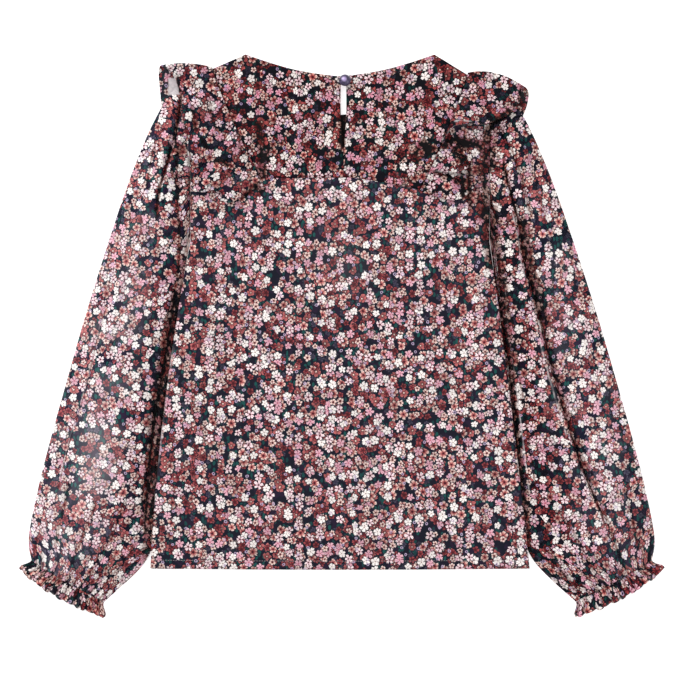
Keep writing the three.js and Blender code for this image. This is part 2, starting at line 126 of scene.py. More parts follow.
# Each ruffle from its lower end on the back, over the shoulder and down the front: the place on its seam, from
# 0 at the yoke's corner to 1 at the shoulder; its fold, from 0 on the back to 1 on the front; its free edge's
# x, y and z; how far its middle bows towards the neck; and how far it stands up from a straight line.
RUFFLES = {
    "left": [
        (0.00, 0, 75, 140, 8.2, 0, 0),
        (0.05, 0, 84, 131.5, 8.8, 0, 0.6),
        (0.10, 0, 94, 124.5, 11.5, 0, 1.2),
        (0.15, 0, 103, 121, 13, 0, 1.5),
        (0.19, 0, 108, 124.5, 11, 0, 0.8),
        (0.23, 0, 110, 131, 8.8, 0, 0.3),
        (0.28, 0, 117, 132.5, 10.5, 0, 1),
        (0.33, 0, 126, 131, 13.5, 0, 1.8),
        (0.38, 0, 134, 132.5, 14, 0, 1.8),
        (0.43, 0, 137, 139, 11, 0, 1),
        (0.48, 0, 133.5, 148, 8.8, 0, 0.3),
        (0.53, 0, 137, 157, 11, 0, 1),
        (0.58, 0, 139.5, 166, 14, 0, 1.8),
        (0.63, 0, 140, 176, 13.2, 0, 1.6),
        (0.68, 0, 138, 185, 9.6, 0, 0.5),
        (0.74, 0, 142.5, 194, 12, 0, 1.2),
        (0.80, 0, 146, 205, 14.5, 0, 1.8),
        (0.86, 0, 146.5, 216, 13, 0, 1.4),
        (0.91, 0, 148, 226, 12, 0, 1.2),
        (0.96, 0, 152, 236, 13, 0.5, 1.2),
        (1.00, 0.12, 157, 244, 12.5, 1.5, 0.8),
        (1.00, 0.3, 161, 247.4, 10.5, 2.5, 0.5),
        (1.00, 0.5, 165, 248, 6.8, 2.5, 0),
        (1.00, 0.75, 167.5, 245, 2.4, 1, 0),
        (0.97, 1, 167.5, 238, 0.6, 0, 0),
        (0.88, 1, 166, 222, 0.6, 0, 0),
        (0.80, 1, 164, 208, 0.6, 0, 0),
        (0.55, 1, 150, 172, 0.6, 0, 0),
        (0.28, 1, 122, 140, 0.6, 0, 0),
        (0.02, 1, 79, 137, 0.6, 0, 0),
    ],
    "right": [
        (0.00, 0, 77, 131, 8.2, 0, 0),
        (0.04, 0, 88, 127.5, 9.4, 0, 0.6),
        (0.08, 0, 100, 124, 12, 0, 1.4),
        (0.12, 0, 112, 125.5, 13, 0, 1.6),
        (0.16, 0, 120, 133, 12, 0, 1.2),
        (0.20, 0, 121, 142, 9.5, 0, 0.6),
        (0.24, 0, 112, 149, 8.4, 0, 0.2),
        (0.28, 0, 96, 151, 8.8, 0, 0.8),
        (0.31, 0, 86, 152, 10.8, 0, 2),
        (0.34, 0, 94, 149.5, 13.6, 0, 3),
        (0.38, 0, 108, 149.5, 15, 0, 3.4),
        (0.42, 0, 119.5, 155, 13.5, 0, 2.6),
        (0.46, 0, 121, 164, 10.2, 0, 1),
        (0.50, 0, 114, 171.5, 8.6, 0, 0.2),
        (0.54, 0, 103, 176.5, 9, 0, 0.8),
        (0.575, 0, 97, 183, 12, 0, 2.4),
        (0.61, 0, 103, 190.5, 15.8, 0, 4),
        (0.66, 0, 117, 193.5, 16.5, 0, 4.2),
        (0.72, 0, 132, 193, 15, 0, 3),
        (0.79, 0, 146, 198, 14, 0, 2.4),
        (0.87, 0, 158, 205, 14, 0, 2.2),
        (0.94, 0, 164.5, 215, 13, 1.5, 1.8),
        (1.00, 0.12, 166.5, 226, 12, 5, 1),
        (1.00, 0.3, 169.5, 228, 9.6, 6, 0.5),
        (1.00, 0.5, 173, 225, 6.2, 5.5, 0),
        (1.00, 0.75, 174, 219, 2.2, 3, 0),
        (0.95, 1, 171, 207, 0.6, 0, 0),
        (0.80, 1, 162, 190, 0.6, 0, 0),
        (0.55, 1, 145, 164, 0.6, 0, 0),
        (0.28, 1, 118, 132, 0.6, 0, 0),
        (0.02, 1, 79, 128, 0.6, 0, 0),
    ],
}

# ---- Creases, and painted shade and highlights ----

# Each crease's depth, width, how much cloth it takes up, and the points that it runs through.
SLEEVE_FOLDS = {
    "left": [
        (0.7, 1.6, 0.4, [(-212, 40), (-222, 0), (-233, -48), (-247, -95), (-258, -137), (-268, -176)]),
        (1.2, 5.0, 0.3, [(-205, 60), (-222, -5), (-236, -60)]),
        (1.2, 4.0, 0.25, [(-188, 96), (-197, 40), (-208, -20), (-216, -80)]),
        (2.4, 2.6, 0.8, [(-146, 219), (-147, 206), (-150, 192), (-153, 177), (-158, 160), (-163, 141)]),
        (1.8, 2.4, 0.8, [(-157, 170), (-159, 156), (-164, 141), (-167, 124), (-169, 96)]),
        (1.4, 2.4, 0.5, [(-138, 170), (-138, 142), (-138, 120), (-141, 100)]),
        (2.4, 2.6, 1.0, [(-150, 60), (-158, 0), (-164, -36), (-171, -72), (-177, -136), (-181, -190)]),
        (1.2, 3.0, 0.45, [(-272, -150), (-276, -178), (-278, -202)]),
    ],
    "right": [
        (3.2, 2.6, 1.0, [(149, 164), (154, 142), (162, 111), (169, 69), (180, 26), (187, -1), (197, -40)]),
        (2.8, 2.6, 0.9, [
            (190, -16), (197, -40), (204, -66), (213, -95), (223, -125), (233, -148), (243, -172),
        ]),
        (2.2, 2.4, 0.8, [(136, 150), (139, 120), (145, 60), (150, 10), (157, -46), (165, -106), (171, -160)]),
        (1.6, 3.0, 0.4, [(160, 200), (176, 160), (190, 110), (200, 60)]),
        (1.4, 4.0, 0.3, [(222, 20), (234, -30), (246, -80)]),
        (1.3, 4.0, 0.3, [(176, -60), (190, -120), (206, -165)]),
    ],
}

# In the back of the body and the yokes, most of them pulled by the ruffles' ends. They take up no cloth.
BODY_FOLDS = [
    (0.8, 2.0, [(52, 152), (58, 143), (64, 135), (74, 129)]),
    (0.6, 3.2, [(72, 184), (77, 176), (80, 166), (79, 156)]),
    (0.6, 3.0, [(-76, 186), (-73, 168), (-70, 150), (-67, 137)]),
    (0.5, 4.0, [(-92, 140), (-84, 133), (-74, 128)]),
    (0.5, 4.0, [(104, 136), (114, 140), (122, 146)]),
    (0.5, 4.0, [(-72, 132), (-62, 108), (-58, 84)]),
    (0.35, 7.0, [(-110, 60), (-104, 0), (-112, -70)]),
    (0.35, 8.0, [(104, 70), (112, 10), (108, -60), (118, -130)]),
    (0.3, 9.0, [(-30, 40), (-22, -40), (-34, -120)]),
    (0.3, 9.0, [(46, 20), (38, -60), (50, -150)]),
    (0.4, 6.0, [(-150, -60), (-146, -120), (-152, -180)]),
    (0.4, 6.0, [(150, -70), (146, -130), (154, -190)]),
]

# Painted shade where the cloth on top is tucked under or doubled: how dark, how far the dark reaches from its
# line, or how far to the left and to the right, and the line, from its upper end to its lower one.
SHADOWS = [
    # The right ruffle: its two hollows, what lies under its rims, its curled end, and the gathers beside it.
    (1.0, 7.5, [(107, 176), (113, 177), (119, 175)]),
    (0.95, 4.0, [(94, 172), (98, 176), (104, 179), (110, 178)]),
    (0.95, 4.5, [(116, 176), (124, 177), (131, 172)]),
    (0.88, 5.0, [(104, 174), (108, 168), (112, 162), (116, 155)]),
    (0.72, 9.0, [(129, 180), (134, 172), (137, 162), (136, 150)]),
    (1.0, 5.5, [(73, 179), (77, 175), (81, 171), (85, 167)]),
    (0.9, 2.5, [(71, 173), (70, 166), (72, 158)]),
    (0.9, (3.0, 2.0), [(160, 209), (150, 201), (143, 196), (138, 190), (134, 183), (137, 176), (141, 168)]),
    (0.5, 8.0, [(139, 192), (138, 182), (137, 170), (136, 160)]),
    (0.92, 1.8, [(168, 231), (165, 221), (164, 213), (157, 208)]),
    (0.5, 3.5, [(171, 227), (170, 216), (168, 206)]),
    (0.9, 1.4, [(74, 152), (80, 151), (92, 148), (103, 144), (112, 141)]),
    (0.92, (3.0, 2.5), [(104, 140), (110, 141), (117, 142)]),
    (0.92, 2.6, [(112, 142), (113, 135), (112, 126)]),
    (0.88, 2.4, [(119, 158), (118, 142), (119, 128), (121, 114)]),
    (0.88, 3.2, [(134, 172), (133, 152), (133, 133), (134, 108)]),
    (0.7, 2.0, [(127, 162), (128, 146), (127, 124), (129, 104)]),
    (0.62, 6.5, [(133, 134), (135, 116), (137, 90), (141, 58)]),
    (0.95, 1.7, [(132, 124), (135, 104), (138, 84), (141, 62)]),
    (0.55, 1.5, [(88, 215), (87, 208), (84, 200)]),
    (0.5, 1.2, [(53, 147), (57, 141), (63, 134), (72, 128)]),
    # Painted shade down the lower end of the back opening.
    (1.0, 2.8, [(2.6, 205), (2.2, 194), (1.8, 182), (1.4, 171)]),
    # The left ruffle: the gathers down its front half, its crevices and its lower end.
    (0.9, 2.0, [(-150, 239), (-148, 226), (-146, 212), (-149, 200), (-151, 189), (-153, 176)]),
    (0.55, 6.0, [(-157, 178), (-152, 173), (-144, 167)]),
    (0.75, 1.6, [(-136, 212), (-134, 198), (-133, 186)]),
    (0.8, 2.0, [(-128, 182), (-125, 177), (-122, 170)]),
    (0.6, 1.6, [(-122, 233), (-114, 230), (-108, 225), (-99, 224)]),
    (0.5, 2.0, [(-120, 214), (-117, 198), (-111, 186)]),
    (0.93, 2.6, [(-116, 157), (-109, 160), (-101, 155)]),
    (0.7, 1.0, [(-138, 172), (-137, 156), (-138, 143), (-138, 118), (-139, 100)]),
    (0.9, (4.5, 4.0), [(-76, 198), (-73, 184), (-72, 170), (-72, 156), (-70, 142)]),
    (0.95, 3.0, [(-65, 173), (-67, 167), (-70, 158)]),
    (0.95, 3.5, [(-80, 139), (-75, 136), (-70, 131)]),
    (0.88, 1.6, [(-76, 140), (-84, 132), (-92, 124)]),
    (0.6, 1.4, [(-58, 190), (-62, 178), (-64, 168)]),
    (0.55, 1.4, [(-96, 186), (-92, 178), (-92, 168)]),
    # Folds at the armholes.
    (0.85, 1.6, [(-156, 174), (-159, 156), (-164, 141), (-167, 124), (-168, 104)]),
    (0.6, 1.4, [(-170, 176), (-174, 156), (-178, 134)]),
    (0.6, 1.4, [(-147, 150), (-149, 132), (-151, 112)]),
]

# The same on the sleeves alone.
SLEEVE_SHADOWS = {
    "left": [
        (0.3, 5.0, [(-154, 198), (-152, 170), (-151, 140), (-151, 110), (-149, 80), (-150, 52)]),
        (0.8, 1.2, [(-152, 192), (-150, 166), (-150, 140), (-149, 112), (-148, 80), (-151, 50)]),
        (0.97, (1.8, 2.2), [
            (-151, 52), (-158, 0), (-164, -36), (-171, -72), (-174, -99), (-177, -136), (-181, -196),
        ]),
        (0.4, 0.9, [(-214, 30), (-222, 0), (-233, -48), (-247, -95), (-258, -137), (-269, -180)]),
    ],
    "right": [
        (0.95, 1.3, [(149, 168), (154, 142), (162, 111), (166, 90), (169, 69), (175, 49)]),
        (0.95, 1.3, [(166, 90), (169, 69), (175, 49), (181, 26), (187, -1), (192, -21), (198, -42)]),
        (0.95, 1.3, [(190, -14), (198, -42), (204, -66), (213, -95), (223, -125), (233, -148), (244, -178)]),
        (0.85, (1.0, 9.5), [(162, 110), (166, 90), (169, 69), (175, 49), (181, 26), (186, 4)]),
        (0.45, (1.0, 6.5), [(181, 26), (187, -1), (192, -21), (198, -42)]),
        (0.55, (1.0, 6.5), [(194, -30), (198, -42), (204, -66), (213, -95), (223, -125), (231, -142)]),
        (0.5, 1.2, [(158, 20), (163, -20), (170, -70), (177, -120), (182, -160)]),
    ],
}

# Creases with painted shade as well: how dark, how far the dark reaches, and then the crease.
DARK_FOLDS = {
    "left": [
        (0.45, 2.5, 1.5, 4.0, 0.4, [(-246, -130), (-256, -168), (-262, -200)]),
        (0.5, 2.0, 1.3, 3.5, 0.45, [(-222, -150), (-236, -185), (-248, -213)]),
        (0.45, 2.0, 1.3, 3.5, 0.4, [(-196, -150), (-212, -190), (-232, -222)]),
        (0.5, 1.6, 1.2, 3.0, 0.4, [(-186, -190), (-204, -215), (-222, -234)]),
    ],
    "right": [
        (0.5, 1.6, 1.8, 2.6, 0.5, [(146, 196), (158, 170), (168, 140), (176, 104)]),
        (0.45, 2.0, 1.8, 3.4, 0.5, [(262, -140), (270, -175), (276, -200)]),
        (0.5, 2.2, 1.5, 3.6, 0.5, [(238, -150), (252, -190), (262, -218)]),
        (0.45, 2.0, 1.3, 3.6, 0.4, [(205, -165), (224, -200), (238, -228)]),
        (0.5, 1.6, 1.2, 3.0, 0.4, [(188, -196), (206, -220), (226, -238)]),
    ],
}
for name, rows in DARK_FOLDS.items():
    SLEEVE_SHADOWS[name] += [(dark, reach, crease[-1]) for dark, reach, *crease in rows]
    SLEEVE_FOLDS[name] += [crease for _, _, *crease in rows]

# How dark a sleeve is beside the body's edge, by height: y, how far the dark reaches, and how dark.
BODY_SHADOW = {
    "left": [
        (110, 6, 0.4), (60, 8, 0.62), (25, 11, 0.78), (-45, 13.5, 0.85), (-150, 13.5, 0.82), (-205, 9, 0.6),
    ],
    "right": [
        (130, 9, 0.7), (60, 12, 0.82), (14, 11, 0.88), (-30, 8, 0.92), (-60, 6, 0.95), (-160, 5.5, 0.92),
        (-205, 4, 0.7),
    ],
}

# Thin bright lines where a fold's edge catches the light: how bright, how wide, and the line.
GLINTS = [
    (0.7, 1.2, [(104, 195), (110, 196), (121, 195)]),
    (0.45, 0.9, [(97, 182), (101, 189), (108, 192), (116, 192), (124, 190)]),
    (0.6, 1.1, [(84, 151), (92, 150), (99, 149), (109, 147)]),
    (0.5, 2.6, [(108, 148), (112, 146), (116, 144)]),
    (0.5, 0.9, [(66, 168), (65, 172), (68, 178)]),
    (0.5, 0.8, [(51, 152), (56, 145), (62, 137), (72, 131)]),
    (0.5, 0.8, [(-216, 20), (-223, 0), (-234, -48), (-248, -95), (-259, -137)]),
    (0.7, 0.9, [(152, 50), (154.5, 10), (158.5, -20), (164, -60), (170, -110), (175, -150)]),
    (0.6, 0.9, [(155, 118), (159, 106), (163, 88), (166, 66), (172, 46)]),
    (0.6, 0.8, [(176, 22), (184, -10), (190, -34), (198, -62), (208, -96)]),
    (0.75, 1.1, [
        (-148, 24), (-151.5, 0), (-158, -34), (-163, -72), (-165.3, -99), (-170.4, -136), (-172.5, -165),
    ]),
]

# The pale patch at the left ruffle's upper corner: its edges, and how far its inner one leans for each step up.
PATCH_OUTER = 159.2
PATCH_INNER = 146.932
PATCH_LEAN = 0.24
PATCH_LOW = 221
PATCH_HIGH = 238
PATCH_PALE = 0.92

# ---- Tools ----

scene = bpy.context.scene


def smooth(value, start, end):
    """A smooth step from 0 at the start to 1 at the end."""
    share = np.clip((value - start) / (end - start), 0, 1)
    return share * share * (3 - 2 * share)


def spot(x, y, middle, reach):
    """1 at the middle of a spot, fading to 0 around it."""
    return np.exp(-(((x - middle[0]) / reach[0]) ** 2) - ((y - middle[1]) / reach[1]) ** 2)


def lerp(first, second, share):
    return first + (second - first) * share


def read_along(rows, t):
    """A smooth reading of a table at each t from 0 to 1."""
    rows = np.asarray(rows, float)
    last = len(rows) - 1
    place = np.clip(np.asarray(t, float), 0, 1) * last
    i = np.minimum(place.astype(int), last - 1)
    f = (place - i)[..., None]

    def at(k):
        return rows[np.clip(k, 0, last)]

    rise = at(i + 1) - at(i)
    slope_a = (at(i + 1) - at(i - 1)) / 2
    slope_b = (at(i + 2) - at(i)) / 2
    return at(i) + f * (slope_a + f * (3 * rise - 2 * slope_a - slope_b + f * (slope_a + slope_b - 2 * rise)))


def nearest_on_line(points, line):
    """For each point: its distance to the line, on which side it lies, and how far along it is, 0 to 1."""
    line = np.asarray(line, float)
    steps = np.linalg.norm(np.diff(line, axis=0), axis=1)
    begun = np.concatenate([[0], np.cumsum(steps)])
    best = np.full(len(points), 1e9)
    side = np.zeros(len(points))
    along = np.zeros(len(points))
    for i, step in enumerate(steps):
        start, run = line[i], line[i + 1] - line[i]
        share = np.clip((points - start) @ run / (step * step), 0, 1)
        away = points - start - share[:, None] * run
        distance = np.linalg.norm(away, axis=1)
        closer = distance < best
        best = np.where(closer, distance, best)
        side = np.where(closer, np.sign(run[0] * away[:, 1] - run[1] * away[:, 0]), side)
        along = np.where(closer, (begun[i] + share * step) / begun[-1], along)
    return best, side, along


def folds(x, y, lines, lean=0.0):
    """The height that a list of creases adds, and how much cloth they take up for the points beyond them.

    A crease is a trough between two ridges, and a lean makes the ridge on one side the higher one.
    """
    points = np.stack([np.ravel(x), np.ravel(y)], axis=1)
    height, taken = np.zeros((2, len(points)))
    for depth, width, take, line in lines:
        distance, side, along = nearest_on_line(points, read_along(line, np.linspace(0, 1, 6 * len(line))))
        fade = smooth(along, 0, 0.08) * smooth(1 - along, 0, 0.22)
        near = distance / width
        ridge = 0.55 * np.exp(-((near - 1.7) ** 2)) * (1 + lean * side)
        height += depth * fade * (ridge - np.exp(-(near**2)))
        taken += 4 * take * fade * (0.5 + 0.5 * np.tanh(side * near))
    return height.reshape(np.shape(x)), taken.reshape(np.shape(x))


def shadows(x, y, lines, crisp=5):
    """How dark a list of shadow lines makes each point: their edges are crisp and a little ragged."""
    points = np.stack([np.ravel(x), np.ravel(y)], axis=1)
    ragged = 1 + 0.3 * waves(points[:, 0], points[:, 1], pitch=6, seed=3)
    shade = np.zeros(len(points))
    for dark, reach, line in lines:
        left, right = np.broadcast_to(reach, 2)
        line = read_along(line, np.linspace(0, 1, 5 * len(line)))
        span = 2 * max(left, right)
        close = np.all((points > line.min(0) - span) & (points < line.max(0) + span), axis=1)
        if not close.any():
            continue
        distance, side, along = nearest_on_line(points[close], line)
        ends = smooth(along, 0, 0.06) * smooth(1 - along, 0, 0.06)
        away = distance * ragged[close] / np.where(side > 0, right, left)
        shade[close] = np.maximum(shade[close], dark * ends * np.exp(-(away**crisp)))
    return shade.reshape(np.shape(x))


def crumpled(x, y, shade):
    """A shade broken up as small creases do: almost black in places and lighter in others."""
    broken = 0.3 * (1 - smooth(shade, 0.9, 1)) * waves(x, y, pitch=5.5, seed=23)
    return np.clip(shade * (1 + broken), 0, 1)


def glints(x, y):
    """How bright the thin bright lines make each point: they come and go along their length."""
    lines = [(bright, width / 2, line) for bright, width, line in GLINTS]
    return shadows(x, y, lines, crisp=2) * np.clip(0.6 + 0.7 * waves(x, y, pitch=9, seed=8), 0, 1)


def pale_patch(x, y):
    """1 inside the pale patch, and 0 outside it."""
    inner = PATCH_INNER + PATCH_LEAN * (y - PATCH_LOW)
    beside = smooth(x, -PATCH_OUTER, 1 - PATCH_OUTER) * smooth(-x, inner, inner + 1)
    return beside * smooth(y, PATCH_LOW, PATCH_LOW + 1) * smooth(-y, -PATCH_HIGH, 1.2 - PATCH_HIGH)


def waves(x, y, pitch, seed, count=7):
    """A gentle random swell between about -1 and 1, with hills about a pitch apart."""
    chance = np.random.default_rng(seed)
    total = np.zeros(np.shape(x))
    for _ in range(count):
        heading = chance.uniform(0, 2 * math.pi)
        turns = 2 * math.pi / (pitch * chance.uniform(0.7, 1.5))
        total += np.sin(turns * (x * math.cos(heading) + y * math.sin(heading)) + chance.uniform(0, 6.28))
    return total / math.sqrt(count)


def add_mesh(name, points, faces, uv=None, **looks):
    """A mesh object. Each of the looks is a value at every point, which its material reads by name."""
    points = np.asarray(points, float)
    mesh = bpy.data.meshes.new(name)
    mesh.from_pydata((points * MM).tolist(), [], [list(map(int, face)) for face in faces])
    if uv is not None:
        corners = np.empty(len(mesh.loops), int)
        mesh.loops.foreach_get("vertex_index", corners)
        layer = mesh.uv_layers.new(name="cloth")
        layer.data.foreach_set("uv", (uv[corners] * MM).astype(np.float32).ravel())
    for look, values in looks.items():
        layer = mesh.attributes.new(look, "FLOAT", "POINT")
        layer.data.foreach_set("value", np.broadcast_to(values, len(points)).astype(np.float32))
    mesh.shade_smooth()
    piece = bpy.data.objects.new(name, mesh)
    scene.collection.objects.link(piece)
    return piece


def thicken(piece):
    shell = piece.modifiers.new("thickness", "SOLIDIFY")
    shell.thickness = THICKNESS * MM
    shell.offset = 0.0
    shell.use_even_offset = False


def add_grid(name, points, uv, **looks):
    """A cloth from a grid of points and their places on the flat print."""
    rows, columns = points.shape[:2]
    index = np.arange(rows * columns).reshape(rows, columns)
    quads = np.stack([index[:-1, :-1], index[:-1, 1:], index[1:, 1:], index[1:, :-1]], axis=-1)
    looks = {look: np.broadcast_to(values, (rows, columns)).ravel() for look, values in looks.items()}
    piece = add_mesh(name, points.reshape(-1, 3), quads.reshape(-1, 4), uv.reshape(-1, 2), **looks)
    thicken(piece)
    return piece


def circle(sides):
    """The cosine and sine of each step round a circle."""
    angles = [2 * math.pi * k / sides for k in range(sides)]
    return [(math.cos(angle), math.sin(angle)) for angle in angles]


def ring_faces(rings, sides, base=0):
    """The faces between rings of points, whose first point is number base."""
    faces = []
    for i in range(rings - 1):
        for k in range(sides):
            a, b = base + i * sides + k, base + i * sides + (k + 1) % sides
            faces.append((a, b, b + sides, a + sides))
    return faces


def tube_faces(rings, sides, base=0):
    """The faces of a tube made of rings of points, with both its ends closed."""
    last = base + (rings - 1) * sides
    ends = [tuple(range(base, base + sides))[::-1], tuple(range(last, last + sides))]
    return ring_faces(rings, sides, base) + ends


# ---- Body ----

BACK_SPACING = 2.4  # between the points of a mesh
FRONT_SPACING = 4.0
YOKE_SPACING = 2.0
ROW_HEIGHT = 0.866  # of a row of triangles, for each step of its spacing
EDGE_ROOM = 0.62  # between an outline and the points inside it, for each step of their spacing
FRONT_PRINT = (371, 212)  # where the piece's cloth lies on the flat print
YOKE_PRINT = (37, 61)
NECK_PULL = 3.5  # of the neck's curve, above its lowest point
# Painted shade on the front panel, where it shows through the back opening.
SLIT_DARK = (0.96, 9, [(SLIT_X, 228), (SLIT_X, 205), (SLIT_X, 180), (SLIT_X, 150)])  # of the front inside it


def by_side(x, key):
    return np.where(np.asarray(x) < 0, SIDES["left"][key], SIDES["right"][key])


def side_bow(x, y):
    """How far a side edge of the body bows out, from none at the underarm and at the hem."""
    down = np.clip((UNDERARM_Y - y) / (UNDERARM_Y - HEM_Y), 0, 1)
    return by_side(x, "bow") * 4 * down * (1 - down)


def half_width(x, y):
    down = np.clip((UNDERARM_Y - y) / (UNDERARM_Y - HEM_Y), 0, None)
    return lerp(ARMHOLE_X, HEM_HALF, down) + side_bow(x, y)


def shoulder_y(x):
    return lerp(NECK_Y, by_side(x, "tip_y"), (np.abs(x) - NECK_HALF) / (ARMHOLE_X - NECK_HALF))


def ruffle_lift(x, y):
    return RUFFLE_LIFT * smooth(np.abs(x), 45, 70) * smooth(y, 98, 122)


def front_bottom(x, y):
    heights, lifts = zip(*reversed(EDGE_LIFT))
    inside = half_width(x, y) - np.abs(x)
    lift = np.interp(y, heights, lifts) * (1 - smooth(inside, 0, EDGE_LIFT_REACH))
    return np.where(y < UNDERARM_Y, lift, 0) + ruffle_lift(x, y)


def panel_gap(x, y):
    side = half_width(x, y) - np.abs(x) + np.maximum(0, y - UNDERARM_Y)
    shoulder = np.maximum(0, NECK_HALF - np.abs(x)) + np.maximum(0, shoulder_y(x) - y)
    away = smooth(np.minimum(side, shoulder), 0, SEAM_EASE)
    hem = lerp(HEM_GAP, PANEL_GAP, smooth(y - HEM_Y, 0, 40))
    return np.minimum(lerp(SEAM, PANEL_GAP, away), hem)


def back_bottom(x, y):
    return front_bottom(x, y) + WALL + panel_gap(x, y)


def back_top(x, y):
    return back_bottom(x, y) + WALL


def back_middle(x, y):
    """The middle of the back's cloth, with its swell and folds."""
    flat = back_bottom(x, y) + WALL - THICKNESS
    inside = np.minimum(half_width(x, y) - np.abs(x), y - HEM_Y)
    swell = 0.35 * waves(x, y, pitch=62, seed=5) + 0.14 * waves(x, y, pitch=19, seed=6)
    creases, _ = folds(x, y, [(depth, width, 0, line) for depth, width, line in BODY_FOLDS])
    return flat + (swell + creases) * smooth(inside, -2, 16)


def front_middle(x, y):
    return front_bottom(x, y) + THICKNESS / 2 + 0.01


def curve(start, pull, end, steps=14):
    """A quadratic curve's points."""
    t = np.linspace(0, 1, steps)[:, None]
    return (1 - t) ** 2 * np.array(start) + 2 * t * (1 - t) * np.array(pull) + t**2 * np.array(end)


def side_points(sign, steps=40):
    y = np.linspace(HEM_Y, UNDERARM_Y, steps)
    return np.stack([sign * half_width(sign, y), y], axis=1)


def hem_y(x):
    return HEM_Y - HEM_BOW * (1 - (x / HEM_HALF) ** 2)


def hem_points(steps=60):
    x = np.linspace(-HEM_HALF, HEM_HALF, steps)
    return np.stack([x, hem_y(x)], axis=1)


def ruffle_seam(side, s, margin=0.0):
    """Points of a side's ruffle seam, s from 0 at the yoke's corner to 1 at the shoulder."""
    (low_x, low_y), (high_x, high_y) = side["low"], side["high"]
    x = lerp(low_x, high_x, s) + SEAM_BOW * 4 * s * (1 - s) + margin
    return np.stack([side["sign"] * x, lerp(low_y, high_y, s)], axis=-1)


def back_ruffle_seam(side, margin):
    """The part of a ruffle seam that is on the back."""
    seam = ruffle_seam(side, np.linspace(0, 1, 30), margin)
    seam[:, 1] = np.minimum(seam[:, 1], shoulder_y(seam[:, 0]) - 0.05)
    return seam


def panel_outline(upper):
    """The outline of a whole panel, from the parts of its upper edge, right to left."""
    tips = {name: [(side["sign"] * ARMHOLE_X, side["tip_y"])] for name, side in SIDES.items()}
    sides = side_points(1)[1:], side_points(-1)[::-1][:-1]
    return np.concatenate([hem_points(), sides[0], tips["right"], *upper, tips["left"], sides[1]])


def fill_outline(outline, spacing):
    """Points and triangles that fill an outline, and each point's distance from the outline."""
    outline = np.asarray(outline, float)
    steps = np.linalg.norm(np.diff(outline, axis=0, append=outline[:1]), axis=1)
    edge = []
    for point, following, step in zip(outline, np.roll(outline, -1, axis=0), steps):
        count = max(1, round(step / spacing))
        edge += [lerp(point, following, k / count) for k in range(count)]
    edge = np.array(edge)
    low, high = edge.min(0), edge.max(0)
    rows = np.arange(low[1], high[1], spacing * ROW_HEIGHT)
    grid = []
    for k, y in enumerate(rows):
        x = np.arange(low[0] + (k % 2) * spacing / 2, high[0], spacing)
        grid.append(np.stack([x, np.full(len(x), y)], axis=1))
    grid = np.concatenate(grid)
    following = np.roll(edge, -1, axis=0)
    crossings = np.zeros(len(grid), int)
    distance = np.full(len(grid), 1e9)
    for start, end in zip(edge, following):
        over = (start[1] > grid[:, 1]) != (end[1] > grid[:, 1])
        rise = end[1] - start[1] or 1e-9
        crossings += over & (grid[:, 0] < start[0] + (grid[:, 1] - start[1]) / rise * (end[0] - start[0]))
        distance = np.minimum(distance, np.hypot(grid[:, 0] - start[0], grid[:, 1] - start[1]))
    keep = (crossings % 2 == 1) & (distance > spacing * EDGE_ROOM)
    points = [Vector(p) for p in np.concatenate([edge, grid[keep]])]
    made = geometry.delaunay_2d_cdt(points, [], [list(range(len(edge)))], 1, 1e-4)
    flat = np.array([[p.x, p.y] for p in made[0]])
    away = np.concatenate([np.zeros(len(edge)), distance[keep]])
    return flat, made[2], away


def add_panel(name, outline, spacing, middle, lines, drop=0.35, shift=(0.0, 0.0), deep=0.0, pale=0.007):
    """A flat piece of the body, its cut edges turned a little down."""
    flat, faces, away = fill_outline(outline, spacing)
    x, y = flat.T
    z = middle(x, y) - drop * np.exp(-away / 1.2)
    # Painted shade along the shadow lines and along the cut edges.
    shade = np.maximum(crumpled(x, y, shadows(x, y, lines)), 0.22 * np.exp(-away / 0.8))
    # The body is a little paler all over, with a faint painted pool of light near the middle of the back, and
    # the glints are painted highlights.
    if pale:
        pale = pale + 0.03 * spot(x, y, (4, 64), (24, 28))
    looks = dict(shade=shade, pale=pale + glints(x, y), deep=deep)
    piece = add_mesh(name, np.stack([x, y, z], axis=1), faces, flat + np.array(shift), **looks)
    thicken(piece)
    return piece


def yoke_outline(side, out):
    """The outline of one half of the yoke, sewn to the other half below the slit."""
    sign, half = side["sign"], SLIT_WIDTH / 2
    slit = np.concatenate([
        curve((SEAM / 2, SLIT_END_Y), (half, 192), (half, SLIT_WIDE_Y), 12),
        curve((half, SLIT_WIDE_Y), (half, 228), (1.9, BACK_NECK_Y), 8)[1:],
    ])
    slit = slit * (sign, 1) + (SLIT_X, 0)
    neck = curve((NECK_HALF, NECK_Y), (45, BACK_NECK_Y + NECK_PULL), (0, BACK_NECK_Y), 30)
    neck = neck[neck[:, 0] > sign * slit[-1, 0] + 1.5][::-1] * (sign, 1)
    lower = [(x, y + out) for x, y in YOKE_SEAM[::-1] if sign * (x - SLIT_X) > 0]
    outline = np.concatenate([
        [(SLIT_X + sign * SEAM / 2, YOKE_SEAM[0][1] + out)],
        slit,
        neck,
        back_ruffle_seam(side, -out)[::-1],
        np.reshape(lower, (-1, 2)),
    ])
    return outline[::sign]


